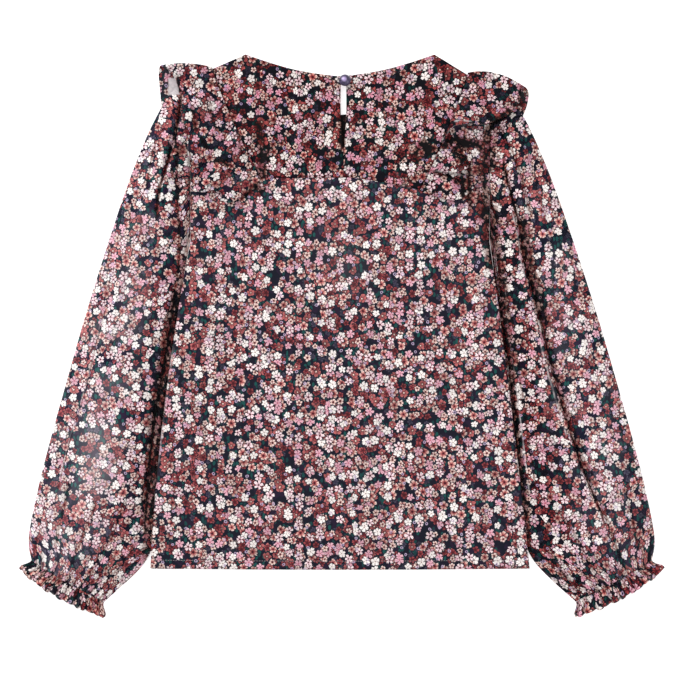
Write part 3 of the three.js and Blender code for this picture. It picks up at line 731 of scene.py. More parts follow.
def make_body():
    out = SEAM / 2
    left, right = (back_ruffle_seam(side, out) for side in SIDES.values())
    lower = [(x, y - out) for x, y in YOKE_SEAM[::-1]]
    outline = panel_outline([right[::-1], lower, left])
    back = add_panel("back_panel_cloth", outline, BACK_SPACING, back_middle, SHADOWS)
    neck = curve((NECK_HALF, NECK_Y), (58, FRONT_NECK_Y + NECK_PULL), (0, FRONT_NECK_Y))
    outline = panel_outline([neck, (neck * (-1, 1))[::-1][1:]])
    front = add_panel(
        "front_panel_cloth", outline, FRONT_SPACING, front_middle, [SLIT_DARK], drop=0.0, shift=FRONT_PRINT
    )
    yokes = []
    for name, side in SIDES.items():
        outline = yoke_outline(side, out)
        looks = dict(shift=(side["sign"] * YOKE_PRINT[0], YOKE_PRINT[1]), deep=1.3, pale=0.0)
        yoke = add_panel("back_yoke_%s_cloth" % name, outline, YOKE_SPACING, back_middle, SHADOWS, **looks)
        yokes.append(yoke)
    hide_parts("back_panel")
    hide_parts("front_panel")
    for name, yoke in zip(SIDES, yokes):
        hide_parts("back_yoke_" + name)
    return back, front, yokes


# ---- Sleeves and cuffs ----

SLEEVE_ROWS = 180
SLEEVE_COLUMNS = 228
SLEEVE_CLOTH = 265  # the sleeve's whole width before it is gathered
SLEEVE_PRINT = 700  # how far out the sleeve's cloth lies on the flat print
CUFF_PRINT = -440
CUFF_COLUMNS = 300
CUFF_PUCKERS = 13  # on each side of the flat cuff


def sleeve_edges(side, t):
    row = read_along(SLEEVE, t)
    tip = side["tip_y"] - SIDES["right"]["tip_y"]
    out_x = row[..., 0] + side["sleeve_out"] * smooth(t, 0.05, 0.7)
    out_y = row[..., 1] + tip * (1 - smooth(t, 0, 0.2))
    outer = np.stack([side["sign"] * out_x, out_y], axis=-1)
    in_x = row[..., 2] + side_bow(side["sign"], row[..., 3]) * (1 - USUAL_BOW / side["bow"])
    inner = np.stack([side["sign"] * in_x, row[..., 3]], axis=-1)
    return outer, inner, row[..., 4]


def tube_heights(across, puff, upper):
    """The height of a flattened tube's cloth above what it rests on, and how far the tube has opened there."""
    bulge = 1 - across**2
    dome = np.where(across > 0, bulge**OUTER_DOME, bulge**INNER_DOME)
    top = SLEEVE_EDGE + (puff - SLEEVE_EDGE) * dome
    bottom = SLEEVE_EDGE * (1 - np.minimum(1, bulge * 6))
    inset = THICKNESS / 2 * np.minimum(1, bulge * 8) + CLEAR
    return np.where(upper, top - inset, bottom + inset), bulge


def around(columns, over=0.78):
    """Places once round a flat tube, from its inner edge over its top, where most are, and back beneath."""
    top = round(columns * over)
    beneath = np.linspace(math.pi, 2 * math.pi, columns - top + 1)[1:]
    angle = np.concatenate([np.linspace(0, math.pi, top), beneath])
    return -np.cos(angle), np.sin(angle) >= -1e-9


def sleeve_looks(name, side, x, y, t, share, upper, gathers):
    """How dark and how pale a sleeve is, from painted shade, sheen and highlights, and how deep its print
    looks.
    """
    # Painted shadow beside the body's edge, and painted shade along the shadow lines and in the cuff's gathers.
    heights, reaches, darks = zip(*reversed(BODY_SHADOW[name]))
    beyond = np.maximum(0, np.abs(x) - half_width(x, y)) / np.interp(y, heights, reaches)
    beside = np.interp(y, heights, darks) * np.exp(-(beyond**4)) * smooth(-y, -heights[-1], 20 - heights[-1])
    shade = crumpled(x, y, np.maximum(beside, shadows(x, y, SHADOWS + SLEEVE_SHADOWS[name])))
    shade = np.maximum(shade, 0.3 * gathers) * upper
    middle = smooth(share, 0.22, 0.62) * (1 - 0.5 * smooth(share, 0.8, 1))
    # Painted sheen on the middle of the sleeve, and painted highlights.
    painted_sheen = side["painted_sheen"] * smooth(t, 0.1, 0.5) * middle * np.clip(1 + waves(x, y, pitch=50, seed=43), 0, 2.5)
    bright = glints(x, y)
    pale = (painted_sheen + bright) * (1 - smooth(shade, 0.2, 0.5)) + 0.5 * bright
    # How deep the print is, from the head to the cuff: partly painted light and shade.
    at_head, at_middle, at_cuff = side["deep"]
    deep = lerp(at_head, lerp(at_middle, at_cuff, smooth(t, 0.3, 0.8)), smooth(t, 0.05, 0.35) * middle)
    if name == "left":
        # The light catches this sleeve most near its elbow.
        pale = pale + 0.13 * spot(x, y, (-224, -112), (20, 32)) + 0.05 * spot(x, y, (-196, 40), (12, 45))
        patch = pale_patch(x, y)
        pale = lerp(pale, PATCH_PALE, patch * upper)
        shade = shade * (1 - patch)
    return dict(shade=shade, pale=pale, deep=deep)


def make_sleeve(name, side):
    t = np.linspace(0, 1, SLEEVE_ROWS)[:, None]
    across, upper = around(SLEEVE_COLUMNS)
    outer, inner, puff = sleeve_edges(side, t)
    place = lerp(inner, outer, ((1 + across) / 2)[None, :, None])
    x, y = place[..., 0], place[..., 1]
    z, bulge = tube_heights(across[None, :], puff, upper[None, :])
    soft = np.minimum(1, bulge * 5) * upper
    # Gathers fan out from the armhole and from the elastic, and die away along the sleeve.
    share = (1 + across[None, :]) / 2
    head = np.exp(-t * 9) * np.sin(share * 62 + 3 * np.sin(share * 9) + 2.0 * t)
    cuff = np.exp(-(1 - t) * 13)
    wander = 2.4 * np.sin(share * 7.1 + side["sign"]) + 5 * (1 - t) * np.sin(share * 11)
    wrist = cuff * np.sin(share * CUFF_PUCKERS * TURN + wander)
    long_wrist = np.exp(-(1 - t) * 5) * np.sin(share * 29 + 4 * (1 - t) + side["sign"] * 2)
    swell = 0.9 * waves(x, y, pitch=75, seed=11 + side["sign"])
    swell += 0.35 * waves(x, y, pitch=24, seed=17 + side["sign"])
    crease, taken = folds(x, y, SLEEVE_FOLDS[name], lean=-0.8 * side["sign"])
    gathers = 0.9 * head * smooth(t, 0.01, 0.06) + 0.75 * wrist + 0.9 * long_wrist
    z = z + soft * (gathers + swell + 1.25 * crease)
    below = ~upper * np.minimum(1, bulge * 3)
    z = z + 0.35 * below * cuff * (1 + np.sin(share * 80))
    points = np.stack([x, y, np.maximum(z, LOWEST) + ruffle_lift(x, y)], axis=-1)
    # The upper cloth lies as it does in the sleeve, and the lower cloth is its reflection in the outer edge.
    gathered = (1 + 0.6 * smooth(t, 0.86, 1) + 0.2 * (1 - smooth(t, 0, 0.12)))[..., None]
    middle = (outer + inner) / 2
    flat = middle + (place - middle) * gathered
    edge = middle + (outer - middle) * gathered
    uv = np.where(upper[:, None], flat, 2 * edge - flat)
    uv[..., 0] += taken * upper + SLEEVE_PRINT * side["sign"]
    looks = sleeve_looks(name, side, x, y, t, share, upper, cuff - wrist)
    piece = add_grid("sleeve_%s_cloth" % name, points, uv, **looks)
    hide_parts("sleeve_%s_back" % name, "sleeve_%s_front" % name)
    return piece


# A cuff from its elastic to its frill's edge: how far out, how much wider at each end, its puff, how deep
# its puckers are, and how far its edge bows.
CUFF = [
    (0.4, 0, 8, 0.8, 0),
    (2.5, 0.6, 8, 0.8, 0.6),
    (5, 2.5, 8.4, 0.9, 1.2),
    (9, 6.2, 9.2, 1.3, 2.6),
    (12.2, 7, 9.6, 1.6, 4),
]
CUFF_ROWS = 26


def make_cuff(name, side):
    outer, inner, _ = sleeve_edges(side, np.array(1.0))
    along = (inner - outer) / np.linalg.norm(inner - outer)
    away = np.array([along[1], -along[0]]) * -side["sign"]
    t = np.linspace(0, 1, CUFF_ROWS)
    out, spread, puff, depth, bow = (column[:, None] for column in read_along(CUFF, t).T)
    across, upper = around(CUFF_COLUMNS)
    share = (1 + across[None, :]) / 2
    start = inner + away * out[..., None] + along * spread[..., None]
    end = outer + away * out[..., None] - along * spread[..., None]
    place = lerp(start, end, share[..., None])
    z, bulge = tube_heights(across[None, :], puff, upper[None, :])
    run = np.where(upper, share, 2 - share)
    phase = run * CUFF_PUCKERS * TURN + 1.9 * np.sin(run * 9 + side["sign"]) + 1.1 * np.sin(run * 23)
    pucker = np.sin(phase)
    z = z + np.minimum(1, bulge * 7) * depth * np.where(upper, pucker, 0.5 * (1 + pucker))
    lift = smooth(t, 0.35, 1)[:, None]
    scallop = lift * (0.45 * np.sin(phase + 1.2) + 0.6 * np.sin(run * 31) + 0.3 * np.sin(run * 53))
    place = place + away * (bow * bulge + scallop)[..., None]
    place = place + along * (lift * 0.9 * np.cos(phase))[..., None]
    points = np.concatenate([place, np.maximum(z, LOWEST)[..., None]], axis=-1)
    u = ((run - 0.5) * SLEEVE_CLOTH / 2 + SLEEVE_PRINT) * side["sign"]
    uv = np.stack(np.broadcast_arrays(u, CUFF_PRINT - out * 1.1), axis=-1)
    # Painted shade in the troughs of the puckers, and a little all over.
    shade = 0.08 + 0.2 * (1 - pucker) * (1 - 0.5 * t[:, None])
    piece = add_grid("cuff_%s_cloth" % name, points, uv, shade=shade, pale=0.0, deep=0.6)
    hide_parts("cuff_" + name)
    return piece


# ---- Ruffles ----

RUFFLE_ROWS = 440
RUFFLE_COLUMNS = 40
RUFFLE_PUCKERS = 44
RUFFLE_GRAIN = 0.6  # the turn of the print on a ruffle, in radians
RUFFLE_PRINT = 1400  # how far out the ruffle's cloth lies on the flat print


def make_ruffle(name, side):
    t = np.linspace(0, 1, RUFFLE_ROWS)
    row = read_along(RUFFLES[name], t)
    place, fold = np.clip(row[:, 0], 0, 1), np.clip(row[:, 1], 0, 1)
    seam = ruffle_seam(side, place)
    level = back_top(seam[:, 0], seam[:, 1]) + RUFFLE_SEAT + WALL / 2
    z = lerp(level, WALL / 2, smooth(fold, 0.1, 0.6))
    reach = FOLD_REACH * smooth(fold, 0, 0.2) * (1 - smooth(fold, 0.6, 1))
    start = np.stack([seam[:, 0], seam[:, 1] + reach, z], axis=1)
    end = np.stack([side["sign"] * row[:, 2], row[:, 3], np.maximum(row[:, 4], WALL / 2)], axis=1)
    s = np.linspace(0, 1, RUFFLE_COLUMNS)
    points = lerp(start[:, None, :], end[:, None, :], s[None, :, None])
    arch = 4 * s * (1 - s)
    points[..., 1] += row[:, 5][:, None] * arch
    points[..., 2] += row[:, 6][:, None] * arch * (0.6 + 0.8 * s)
    # Puckers at the seam, which open out towards the free edge.
    back = (1 - smooth(fold, 0, 0.6))[:, None]
    phase = t[:, None] * RUFFLE_PUCKERS * TURN
    sway = 1.6 * np.sin(t[:, None] * 40 + side["sign"]) + 0.8 * np.sin(t[:, None] * 93)
    pucker = np.sin(phase + sway)
    held = smooth(s, 0, 0.08) * np.exp(-s * 2.2)
    loose = np.sin(phase * 0.31 + sway * 1.7) * s
    points[..., 2] += back * (0.95 * pucker * held + 0.7 * loose)
    points[..., 2] = np.maximum(points[..., 2], LOWEST)
    turn = side["sign"] * RUFFLE_GRAIN
    grain = np.array([[math.cos(turn), -math.sin(turn)], [math.sin(turn), math.cos(turn)]])
    uv = (points[..., :2] + 0.2 * (back * held * pucker)[..., None]) @ grain + (RUFFLE_PRINT * side["sign"], 0)
    # Painted shade where the cloth is tucked under or puckered, and a painted highlight on its rolled edge
    # where it stands up.
    x, y = points[..., 0], points[..., 1]
    tucked = (1 - smooth(end[:, 2], 8.6, 11.5))[:, None] * smooth(s, 0.2, 0.8)
    shade = back * (0.14 * tucked + 0.17 * held * (1 - pucker))
    shade = np.maximum(shade, crumpled(x, y, shadows(x, y, SHADOWS)) * smooth(back, 0.3, 0.8))
    pale = 0.1 * smooth(s, 0.965, 0.985) * smooth(end[:, 2], 12, 14)[:, None] + glints(x, y) * back
    if name == "left":
        patch = pale_patch(x, y)
        pale = np.maximum(pale, PATCH_PALE * patch)
        shade = shade * (1 - patch)
    piece = add_grid("ruffle_%s_cloth" % name, points, uv, shade=shade, pale=pale, deep=side["ruffle_deep"])
    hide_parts("ruffle_" + name)
    return piece


# ---- Button, loop and stitches ----

BUTTON_SIDES = 72
BUTTON_RIM = 0.6  # the height of the button's rim, below its dome
LOOP_TAIL = 1.6  # of the cord, beyond its reach
LOOP_SPREAD = 0.75  # between its two ends, for each step of its width
CORD_SIDES = 10
STITCH_LENGTH = 1.7
STITCH_PITCH = 2.4
STITCH_RADIUS = 0.17
STITCH_SIDES = 6
STITCH_RINGS = [(-0.5, 0.25), (-0.4, 0.8), (0.0, 1.0), (0.4, 0.8), (0.5, 0.25)]  # place, radius
HEM_DEPTH = 8.0
HEM_END = 2.5  # between the stitches and the body's side


def make_button():
    seat = back_top(BUTTON_X, BUTTON_Y) + SEAM
    crown = seat + SHANK_HEIGHT
    profile = [(SHANK_RADIUS, seat), (SHANK_RADIUS, crown), (BUTTON_RADIUS - 0.9, crown)]
    profile += [(BUTTON_RADIUS - 0.35, crown + 0.12), (BUTTON_RADIUS - 0.05, crown + 0.4)]
    for angle in np.linspace(0, math.pi / 2, 18)[:-1]:
        rise = BUTTON_RIM + (BUTTON_HEIGHT - BUTTON_RIM) * math.sin(angle)
        profile.append((BUTTON_RADIUS * math.cos(angle), crown + rise))
    points = []
    for radius, z in profile:
        points += [(BUTTON_X + radius * cos, BUTTON_Y + radius * sin, z) for cos, sin in circle(BUTTON_SIDES)]
    bottom = len(points)
    last = bottom - BUTTON_SIDES
    points += [(BUTTON_X, BUTTON_Y, seat), (BUTTON_X, BUTTON_Y, crown + BUTTON_HEIGHT)]
    faces = ring_faces(len(profile), BUTTON_SIDES)
    for k in range(BUTTON_SIDES):
        following = (k + 1) % BUTTON_SIDES
        faces += [(bottom, following, k), (bottom + 1, last + k, last + following)]
    piece = add_mesh("button_pearl", points, faces)
    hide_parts("button")
    return piece


def make_loop():
    height = back_top(BUTTON_X, BUTTON_Y) + SEAM + LOOP_CORD
    end_x = BUTTON_X - LOOP_REACH - LOOP_TAIL
    path = [(end_x, BUTTON_Y - LOOP_RADIUS * LOOP_SPREAD, height)]
    for angle in np.linspace(-0.6 * math.pi, 0.6 * math.pi, 9):
        x = BUTTON_X + LOOP_RADIUS * math.cos(angle)
        path.append((x, BUTTON_Y + LOOP_RADIUS * math.sin(angle), height))
    path.append((end_x, BUTTON_Y + LOOP_RADIUS * LOOP_SPREAD, height))
    path = read_along(path, np.linspace(0, 1, 60))
    points = []
    for point, run in zip(path, np.gradient(path, axis=0)):
        run = run / np.linalg.norm(run)
        across = np.cross(run, (0.0, 0.0, 1.0))
        across /= np.linalg.norm(across)
        rise = np.cross(across, run)
        points += [point + LOOP_CORD * (across * cos + rise * sin) for cos, sin in circle(CORD_SIDES)]
    piece = add_mesh("button_loop_cord", points, tube_faces(len(path), CORD_SIDES))
    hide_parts("button_loop")
    return piece


def make_hem_stitches():
    """One row of stitches along the hem of the back, each a small closed bead of thread."""
    chance = np.random.default_rng(31)
    points, faces = [], []
    half = HEM_HALF - HEM_END
    for x in np.arange(-half, half, STITCH_PITCH):
        y = hem_y(x) + HEM_DEPTH + chance.normal(0, 0.05)
        z = float(back_middle(np.array(x), np.array(y))) + THICKNESS / 2 + 0.05
        tilt = chance.normal(0, 0.03)
        faces += tube_faces(len(STITCH_RINGS), STITCH_SIDES, len(points))
        for place, width in STITCH_RINGS:
            along, radius = STITCH_LENGTH * place, STITCH_RADIUS * width
            for cos, sin in circle(STITCH_SIDES):
                points.append((x + along, y + along * tilt + radius * cos, z + radius * sin))
    return add_mesh("hem_stitches", points, faces)


# ---- The print ----


def srgb(red, green, blue):
    """A display colour from 0 to 255 as the linear colour that a shader takes."""
    shares = [value / 255 for value in (red, green, blue)]
    return (*(share / 12.92 if share <= 0.04045 else ((share + 0.055) / 1.055) ** 2.4 for share in shares), 1.0)


class Graph:
    """Short calls that add nodes to a node tree and link them."""

    def __init__(self, tree):
        self.tree = tree

    def put(self, socket, value):
        if isinstance(value, bpy.types.NodeSocket):
            self.tree.links.new(value, socket)
        else:
            socket.default_value = value

    def feed(self, node, inputs):
        for key, value in inputs.items():
            self.put(node.inputs[key], value)

    def add(self, kind, inputs=None, **settings):
        node = self.tree.nodes.new(kind)
        for key, value in settings.items():
            setattr(node, key, value)
        self.feed(node, inputs or {})
        return node

    def math(self, operation, *values):
        node = self.add("ShaderNodeMath", operation=operation)
        for socket, value in zip(node.inputs, values):
            self.put(socket, value)
        return node.outputs[0]

    def times(self, first, second):
        return self.math("MULTIPLY", first, second)

    def scaled(self, value, scale, start):
        """The value times the scale, from the start."""
        return self.math("MULTIPLY_ADD", value, scale, start)

    def vector(self, operation, *values):
        node = self.add("ShaderNodeVectorMath", operation=operation)
        sockets = (node.inputs[0], node.inputs["Scale"]) if operation == "SCALE" else node.inputs
        for socket, value in zip(sockets, values):
            self.put(socket, value)
        return node.outputs["Value" if operation in ("LENGTH", "DOT_PRODUCT") else "Vector"]

    def fade(self, value, start, end, low=0.0, high=1.0):
        """A smooth step of value from start to end."""
        node = self.add("ShaderNodeMapRange", interpolation_type="SMOOTHSTEP")
        for socket, given in zip(node.inputs, (value, start, end, low, high)):
            self.put(socket, given)
        return node.outputs[0]

    def mix(self, factor, first, second, blend="MIX"):
        node = self.add("ShaderNodeMix", data_type="RGBA", blend_type=blend)
        for socket, given in zip((node.inputs[0], node.inputs[6], node.inputs[7]), (factor, first, second)):
            self.put(socket, given)
        return node.outputs[2]

    def ramp(self, factor, stops):
        node = self.add("ShaderNodeValToRGB", {"Fac": factor})
        elements = node.color_ramp.elements
        elements[0].position, elements[0].color = stops[0]
        elements[1].position, elements[1].color = stops[-1]
        for place, colour in stops[1:-1]:
            elements.new(place).color = colour
        return node.outputs["Color"]

    def noise(self, point, scale, detail=2.0, output="Fac"):
        """Flat noise, with scale as the number of its hills in a metre."""
        inputs = {"Vector": point, "Scale": scale, "Detail": detail}
        return self.add("ShaderNodeTexNoise", inputs, noise_dimensions="2D").outputs[output]

    def cells(self, point, scale, randomness=1.0):
        """Scattered cells, scale of them in a metre: the nearest one's outputs, and its three chance values."""
        inputs = {"Vector": point, "Scale": scale, "Randomness": randomness}
        cell = self.add("ShaderNodeTexVoronoi", inputs, voronoi_dimensions="2D").outputs
        return cell, self.add("ShaderNodeSeparateColor", {"Color": cell["Color"]}).outputs

    def read(self, look):
        """One of the looks that a mesh carries."""
        return self.add("ShaderNodeAttribute", attribute_name=look).outputs["Fac"]


CREAM = srgb(248, 238, 232)
WHITE = srgb(255, 250, 248)
PINK = srgb(234, 186, 200)
PALE_PINK = srgb(248, 222, 228)
ROSE = srgb(190, 110, 128)
BRICK = srgb(158, 66, 70)
DARK_RED = srgb(98, 32, 40)
CLARET = srgb(66, 22, 34)
PEACH = srgb(220, 156, 148)
PALE_PEACH = srgb(246, 216, 204)
NAVY = srgb(16, 19, 38)
PURPLE = srgb(38, 24, 50)
TEAL = srgb(24, 88, 84)
DARK_TEAL = srgb(20, 60, 64)
LILAC = srgb(196, 176, 206)
SLATE = srgb(62, 60, 78)

PRINT_SCALE = 1.08  # how much finer the print is than its numbers say
USUAL_DULL = 0.72

# Each kind of flower, from the lowest layer to the highest: its seed, the spacing and radius in millimetres,
# how many of the places hold one, how deep its petals are cut, how open the gaps between them are, how bright
# the dullest one is, the colour of its veins, and its colours from the middle to the petals' ends.
FLOWERS = [
    (9, 7.5, 3.2, 0.3, 0.6, 0.5, USUAL_DULL, SLATE,
     [(0.0, PURPLE), (0.4, SLATE), (1.0, srgb(84, 76, 92))]),
    (1, 9.5, 4.5, 0.52, 0.34, 0.75, USUAL_DULL, srgb(206, 136, 132),
     [(0.0, PALE_PEACH), (0.13, PALE_PEACH), (0.2, CLARET), (0.5, BRICK), (1.0, srgb(196, 108, 108))]),
    (2, 8.0, 3.4, 0.42, 0.4, 0.75, USUAL_DULL, CLARET,
     [(0.0, CLARET), (0.3, DARK_RED), (0.6, BRICK), (1.0, srgb(188, 96, 96))]),
    (3, 10.0, 4.5, 0.42, 0.36, 0.75, USUAL_DULL, BRICK,
     [(0.0, CLARET), (0.16, CLARET), (0.28, BRICK), (0.5, PEACH), (0.8, PALE_PEACH), (1.0, CREAM)]),
    (4, 10.0, 4.2, 0.32, 0.6, 0.85, 0.85, ROSE,
     [(0.0, ROSE), (0.14, ROSE), (0.3, PINK), (0.75, PINK), (1.0, PALE_PINK)]),
    (5, 8.5, 3.1, 0.26, 0.4, 0.6, 0.85, BRICK,
     [(0.0, CLARET), (0.27, DARK_RED), (0.4, PALE_PEACH), (1.0, CREAM)]),
    (6, 11.0, 4.1, 0.29, 0.4, 0.5, 0.98, srgb(196, 176, 170),
     [(0.0, srgb(120, 100, 104)), (0.12, srgb(150, 130, 130)), (0.2, CREAM), (0.5, WHITE), (1.0, WHITE)]),
    (7, 10.0, 4.3, 0.24, 0.82, 1.0, 0.9, ROSE,
     [(0.0, CLARET), (0.2, DARK_RED), (0.3, PALE_PINK), (1.0, WHITE)]),
]
BRIGHTEST = 1.16  # flower of a layer
LEAF_SCALE = 260.0  # leaves in a metre
RING_SPACING = 12.0  # millimetres
RING_RADIUS = 1.1
RING_WIDTH = 0.42  # from the middle of its line to its edge


def flower_layer(g, point, rough, seed, spacing, radius, share, cut, gap, dull, vein, colours):
    """One layer of five-petalled flowers: how much of it covers each place, and its colour there."""
    moved = g.vector("ADD", point, (seed * 0.0731, seed * -0.0417, 0.0))
    cell, chance = g.cells(moved, 1 / (spacing * MM), 0.9)
    away = g.vector("SUBTRACT", moved, cell["Position"])
    axes = g.add("ShaderNodeSeparateXYZ", {"Vector": away}).outputs
    size = g.fade(chance[1], 0.0, 1.0, 0.82 * radius * MM, 1.12 * radius * MM)
    reach = g.math("DIVIDE", g.vector("LENGTH", away), size)
    turn = g.scaled(chance[2], TURN, g.math("ARCTAN2", axes["Y"], axes["X"]))
    petal = g.math("ABSOLUTE", g.math("COSINE", g.times(turn, 2.5)))
    outline = g.scaled(g.math("POWER", petal, 0.55), cut, 1.0 - cut)
    edge = g.math("SUBTRACT", g.math("ADD", outline, rough), reach)
    present = g.math("LESS_THAN", chance[0], share)
    around = g.times(g.fade(edge, -0.36, -0.12), present)
    # Between two petals the cloth below shows, and fine veins run along each petal.
    groove = g.times(g.fade(petal, 0.46, 0.18), g.fade(reach, 0.2, 0.4))
    cover = g.times(g.times(g.fade(edge, -0.02, 0.03), present), g.scaled(groove, -gap, 1.0))
    stripe = g.math("COSINE", g.times(turn, 15.0))
    stripe = g.times(g.fade(stripe, 0.0, 0.9), g.fade(reach, 0.2, 0.4, 0.0, 0.75))
    colour = g.mix(stripe, g.ramp(reach, colours), vein)
    return cover, around, g.vector("SCALE", colour, g.fade(chance[2], 0.0, 1.0, dull, BRIGHTEST))


def print_group():
    """The cloth's flower print: a colour, and how much of the place is flower, from a flat point in metres."""
    tree = bpy.data.node_groups.new("flower_print", "ShaderNodeTree")
    tree.interface.new_socket("Point", in_out="INPUT", socket_type="NodeSocketVector")
    tree.interface.new_socket("Color", in_out="OUTPUT", socket_type="NodeSocketColor")
    tree.interface.new_socket("Flower", in_out="OUTPUT", socket_type="NodeSocketFloat")
    g = Graph(tree)
    source = g.vector("SCALE", g.add("NodeGroupInput").outputs["Point"], PRINT_SCALE)
    sway = g.vector("SUBTRACT", g.noise(source, 260.0, 1.0, output="Color"), (0.5, 0.5, 0.5))
    point = g.vector("ADD", source, g.vector("MULTIPLY", sway, (0.0016, 0.0016, 0.0)))

    # Ground: navy with purple patches, and short teal leaves.
    colour = g.mix(g.fade(g.noise(source, 110.0), 0.5, 0.62), NAVY, PURPLE)
    leaf, chance = g.cells(g.vector("MULTIPLY", point, (1.0, 0.62, 1.0)), LEAF_SCALE)
    cover = g.times(g.fade(leaf["Distance"], 0.44, 0.32), g.math("LESS_THAN", chance[0], 0.55))
    colour = g.mix(cover, colour, g.mix(chance[1], TEAL, DARK_TEAL))
    total = 0.0
    rough = g.scaled(g.noise(source, 900.0, 1.0), 0.5, -0.25)
    for flower in FLOWERS:
        cover, around, petals = flower_layer(g, point, rough, *flower)
        colour = g.mix(g.times(around, 0.94), colour, NAVY)
        colour = g.mix(cover, colour, petals)
        total = g.math("MAXIMUM", total, cover)

    # A few small lilac rings.
    ring, chance = g.cells(point, 1 / (RING_SPACING * MM))
    reach = g.times(ring["Distance"], RING_SPACING)
    line = g.math("SUBTRACT", RING_WIDTH, g.math("ABSOLUTE", g.math("SUBTRACT", reach, RING_RADIUS)))
    line = g.times(g.fade(line, -0.1, 0.25), g.math("LESS_THAN", chance[0], 0.55))
    out = g.add("NodeGroupOutput")
    g.feed(out, {"Color": g.mix(line, colour, LILAC), "Flower": total})
    return tree


# ---- Materials ----


def new_material(name):
    material = bpy.data.materials.new(name)
    material.use_nodes = True
    g = Graph(material.node_tree)
    shader = material.node_tree.nodes["Principled BSDF"]
    return material, g, shader


def cloth_material(name, tree, tone, ground_alpha=None, flower_alpha=None):
    """Printed chiffon: each face of a sheer cloth lets some light through, less where a flower is printed."""
    material, g, shader = new_material(name)
    point = g.add("ShaderNodeUVMap", uv_map="cloth").outputs["UV"]
    printed = g.add("ShaderNodeGroup", {"Point": point}, node_tree=tree).outputs
    pale, shade, deep = g.read("pale"), g.read("shade"), g.read("deep")
    # Where the cloth has a dark one behind it, its ground is deeper and its flowers are as bright. Deep is
    # partly painted shade, on the side away from the lamp; below zero it is painted light, and both are paler.
    inputs = {"Color": printed["Color"], "Gamma": g.scaled(deep, 0.24, 1.06)}
    colour = g.add("ShaderNodeGamma", inputs).outputs["Color"]
    colour = g.vector("SCALE", colour, g.scaled(deep, -0.06, tone))
    # Pale is painted sheen and highlights, and also the pale patch and the body's faint paleness.
    colour = g.mix(pale, colour, srgb(222, 214, 216))
    # Painted shade: a warm dark where the cloth is doubled or tucked, and almost black in a crevice.
    colour = g.mix(g.fade(shade, 0.0, 0.75), colour, (0.34, 0.22, 0.2, 1.0), "MULTIPLY")
    colour = g.mix(g.fade(shade, 0.78, 0.98), colour, srgb(10, 6, 9))
    crepe = g.noise(point, 420.0, 3.0)
    height = g.math("ADD", g.noise(point, 1500.0), g.times(crepe, 1.4))
    bump = g.add("ShaderNodeBump", {"Height": height, "Strength": 0.35, "Distance": 0.0002})
    g.feed(shader, {
        "Base Color": colour,
        "Roughness": g.scaled(crepe, 0.2, 0.55),
        "Normal": bump.outputs["Normal"],
        "Specular IOR Level": 0.12,
    })
    if ground_alpha is not None:
        alpha = g.scaled(printed["Flower"], flower_alpha - ground_alpha, ground_alpha)
        g.feed(shader, {"Alpha": alpha})
    return material


def pearl_material():
    material, g, shader = new_material("pearl")
    point = g.add("ShaderNodeTexCoord").outputs["Object"]
    swirl = g.add("ShaderNodeTexNoise", {"Vector": point, "Scale": 420.0, "Detail": 3.0, "Distortion": 1.2})
    swirl = swirl.outputs["Fac"]
    colour = g.ramp(swirl, [(0.3, srgb(38, 32, 56)), (0.55, srgb(60, 50, 84)), (0.75, srgb(92, 76, 118))])
    # A painted highlight: the crown is paler, most of all a little up and to the left of its middle.
    crown = g.vector("SUBTRACT", point, ((BUTTON_X - 0.7) * MM, (BUTTON_Y + 0.6) * MM, 0.0))
    away = g.vector("LENGTH", g.vector("MULTIPLY", crown, (1.0, 1.0, 0.0)))
    g.feed(shader, {
        "Base Color": g.mix(g.fade(away, 0.5 * MM, 3.4 * MM), srgb(186, 166, 214), colour),
        "Roughness": g.scaled(swirl, 0.12, 0.22),
        "Metallic": 0.2,
        "Coat Weight": 0.5,
        "Coat Roughness": 0.08,
    })
    return material


def thread_material(name, light, dark):
    """Twisted thread: fine streaks of two near tones."""
    material, g, shader = new_material(name)
    twist = g.noise(g.add("ShaderNodeTexCoord").outputs["Object"], 2600.0)
    bump = g.add("ShaderNodeBump", {"Height": twist, "Strength": 0.5, "Distance": 0.0001})
    g.feed(shader, {
        "Base Color": g.ramp(twist, [(0.35, dark), (0.65, light)]),
        "Normal": bump.outputs["Normal"],
        "Roughness": 0.6,
        "Sheen Weight": 0.2,
    })
    return material


# ---- The garment ----

back, front, yokes = make_body()
sleeves = [make_sleeve(name, side) for name, side in SIDES.items()]
cuffs = [make_cuff(name, side) for name, side in SIDES.items()]
ruffles = [make_ruffle(name, side) for name, side in SIDES.items()]
button = make_button()
loop = make_loop()
stitches = make_hem_stitches()

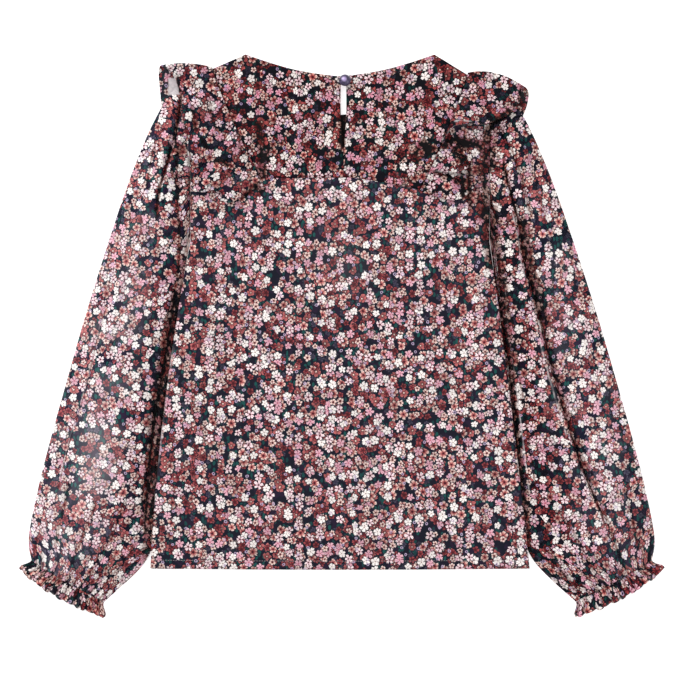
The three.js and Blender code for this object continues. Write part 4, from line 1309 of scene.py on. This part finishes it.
flower_print = print_group()
lined = cloth_material("printed_chiffon_lined", flower_print, 0.95)
sheer = cloth_material("printed_chiffon_sheer", flower_print, 1.03, 0.8, 0.95)
ruffled = cloth_material("printed_chiffon_ruffle", flower_print, 0.95, 0.85, 0.94)
for pieces, material in (
    ([back, front, *yokes], lined),
    ([*sleeves, *cuffs], sheer),
    (ruffles, ruffled),
    ([button], pearl_material()),
    ([loop], thread_material("cord", srgb(58, 52, 74), srgb(24, 22, 36))),
    ([stitches], thread_material("thread", srgb(206, 190, 190), srgb(120, 104, 112))),
):
    for piece in pieces:
        piece.data.materials.append(material)

cloths = [back, front, *yokes, *sleeves, *cuffs, *ruffles]
for piece in [*cloths, button, loop, stitches]:
    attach(piece, "root")

# ---- Floor, light and camera ----

FLOOR_HALF = 3000
CAMERA_PLACE = (0.0, -0.0046, 1.485)  # metres, looking straight down
CAMERA_LENS = 85
CAMERA_SENSOR = 36


def add_floor():
    corners = [(x * FLOOR_HALF, y * FLOOR_HALF, 0) for x, y in ((-1, -1), (1, -1), (1, 1), (-1, 1))]
    floor = add_mesh("floor", corners, [(0, 1, 2, 3)])
    material, g, shader = new_material("floor")
    point = g.add("ShaderNodeTexCoord").outputs["Object"]
    # A lit table: its own light keeps what shows through the neck's opening white.
    g.feed(shader, {
        "Base Color": g.ramp(g.noise(point, 3.0), [(0.3, srgb(250, 250, 250)), (0.7, srgb(252, 252, 252))]),
        "Roughness": 0.9,
        "Specular IOR Level": 0.1,
        "Emission Color": (1.0, 1.0, 1.0, 1.0),
        "Emission Strength": 0.5,
    })
    floor.data.materials.append(material)


def add_light(name, place, size, power):
    """A square lamp that faces the middle of the garment."""
    data = bpy.data.lights.new(name, "AREA")
    data.size = size
    data.energy = power
    light = bpy.data.objects.new(name, data)
    light.location = place
    light.rotation_euler = Vector(place).to_track_quat("Z", "Y").to_euler()
    scene.collection.objects.link(light)


def add_world(strength):
    world = bpy.data.worlds.new("studio")
    world.use_nodes = True
    sky = world.node_tree.nodes["Background"]
    sky.inputs["Color"].default_value = (1.0, 1.0, 1.0, 1.0)
    sky.inputs["Strength"].default_value = strength
    scene.world = world


add_floor()
add_light("key", (-1.3, 1.3, 1.5), 1.7, 34)
add_light("fill", (1.6, -0.8, 1.8), 1.6, 10)
add_world(0.68)

camera_data = bpy.data.cameras.new("camera")
camera_data.lens = CAMERA_LENS
camera_data.sensor_width = CAMERA_SENSOR
camera = bpy.data.objects.new("camera", camera_data)
camera.location = CAMERA_PLACE
scene.collection.objects.link(camera)
scene.camera = camera
scene.view_settings.view_transform = "Standard"
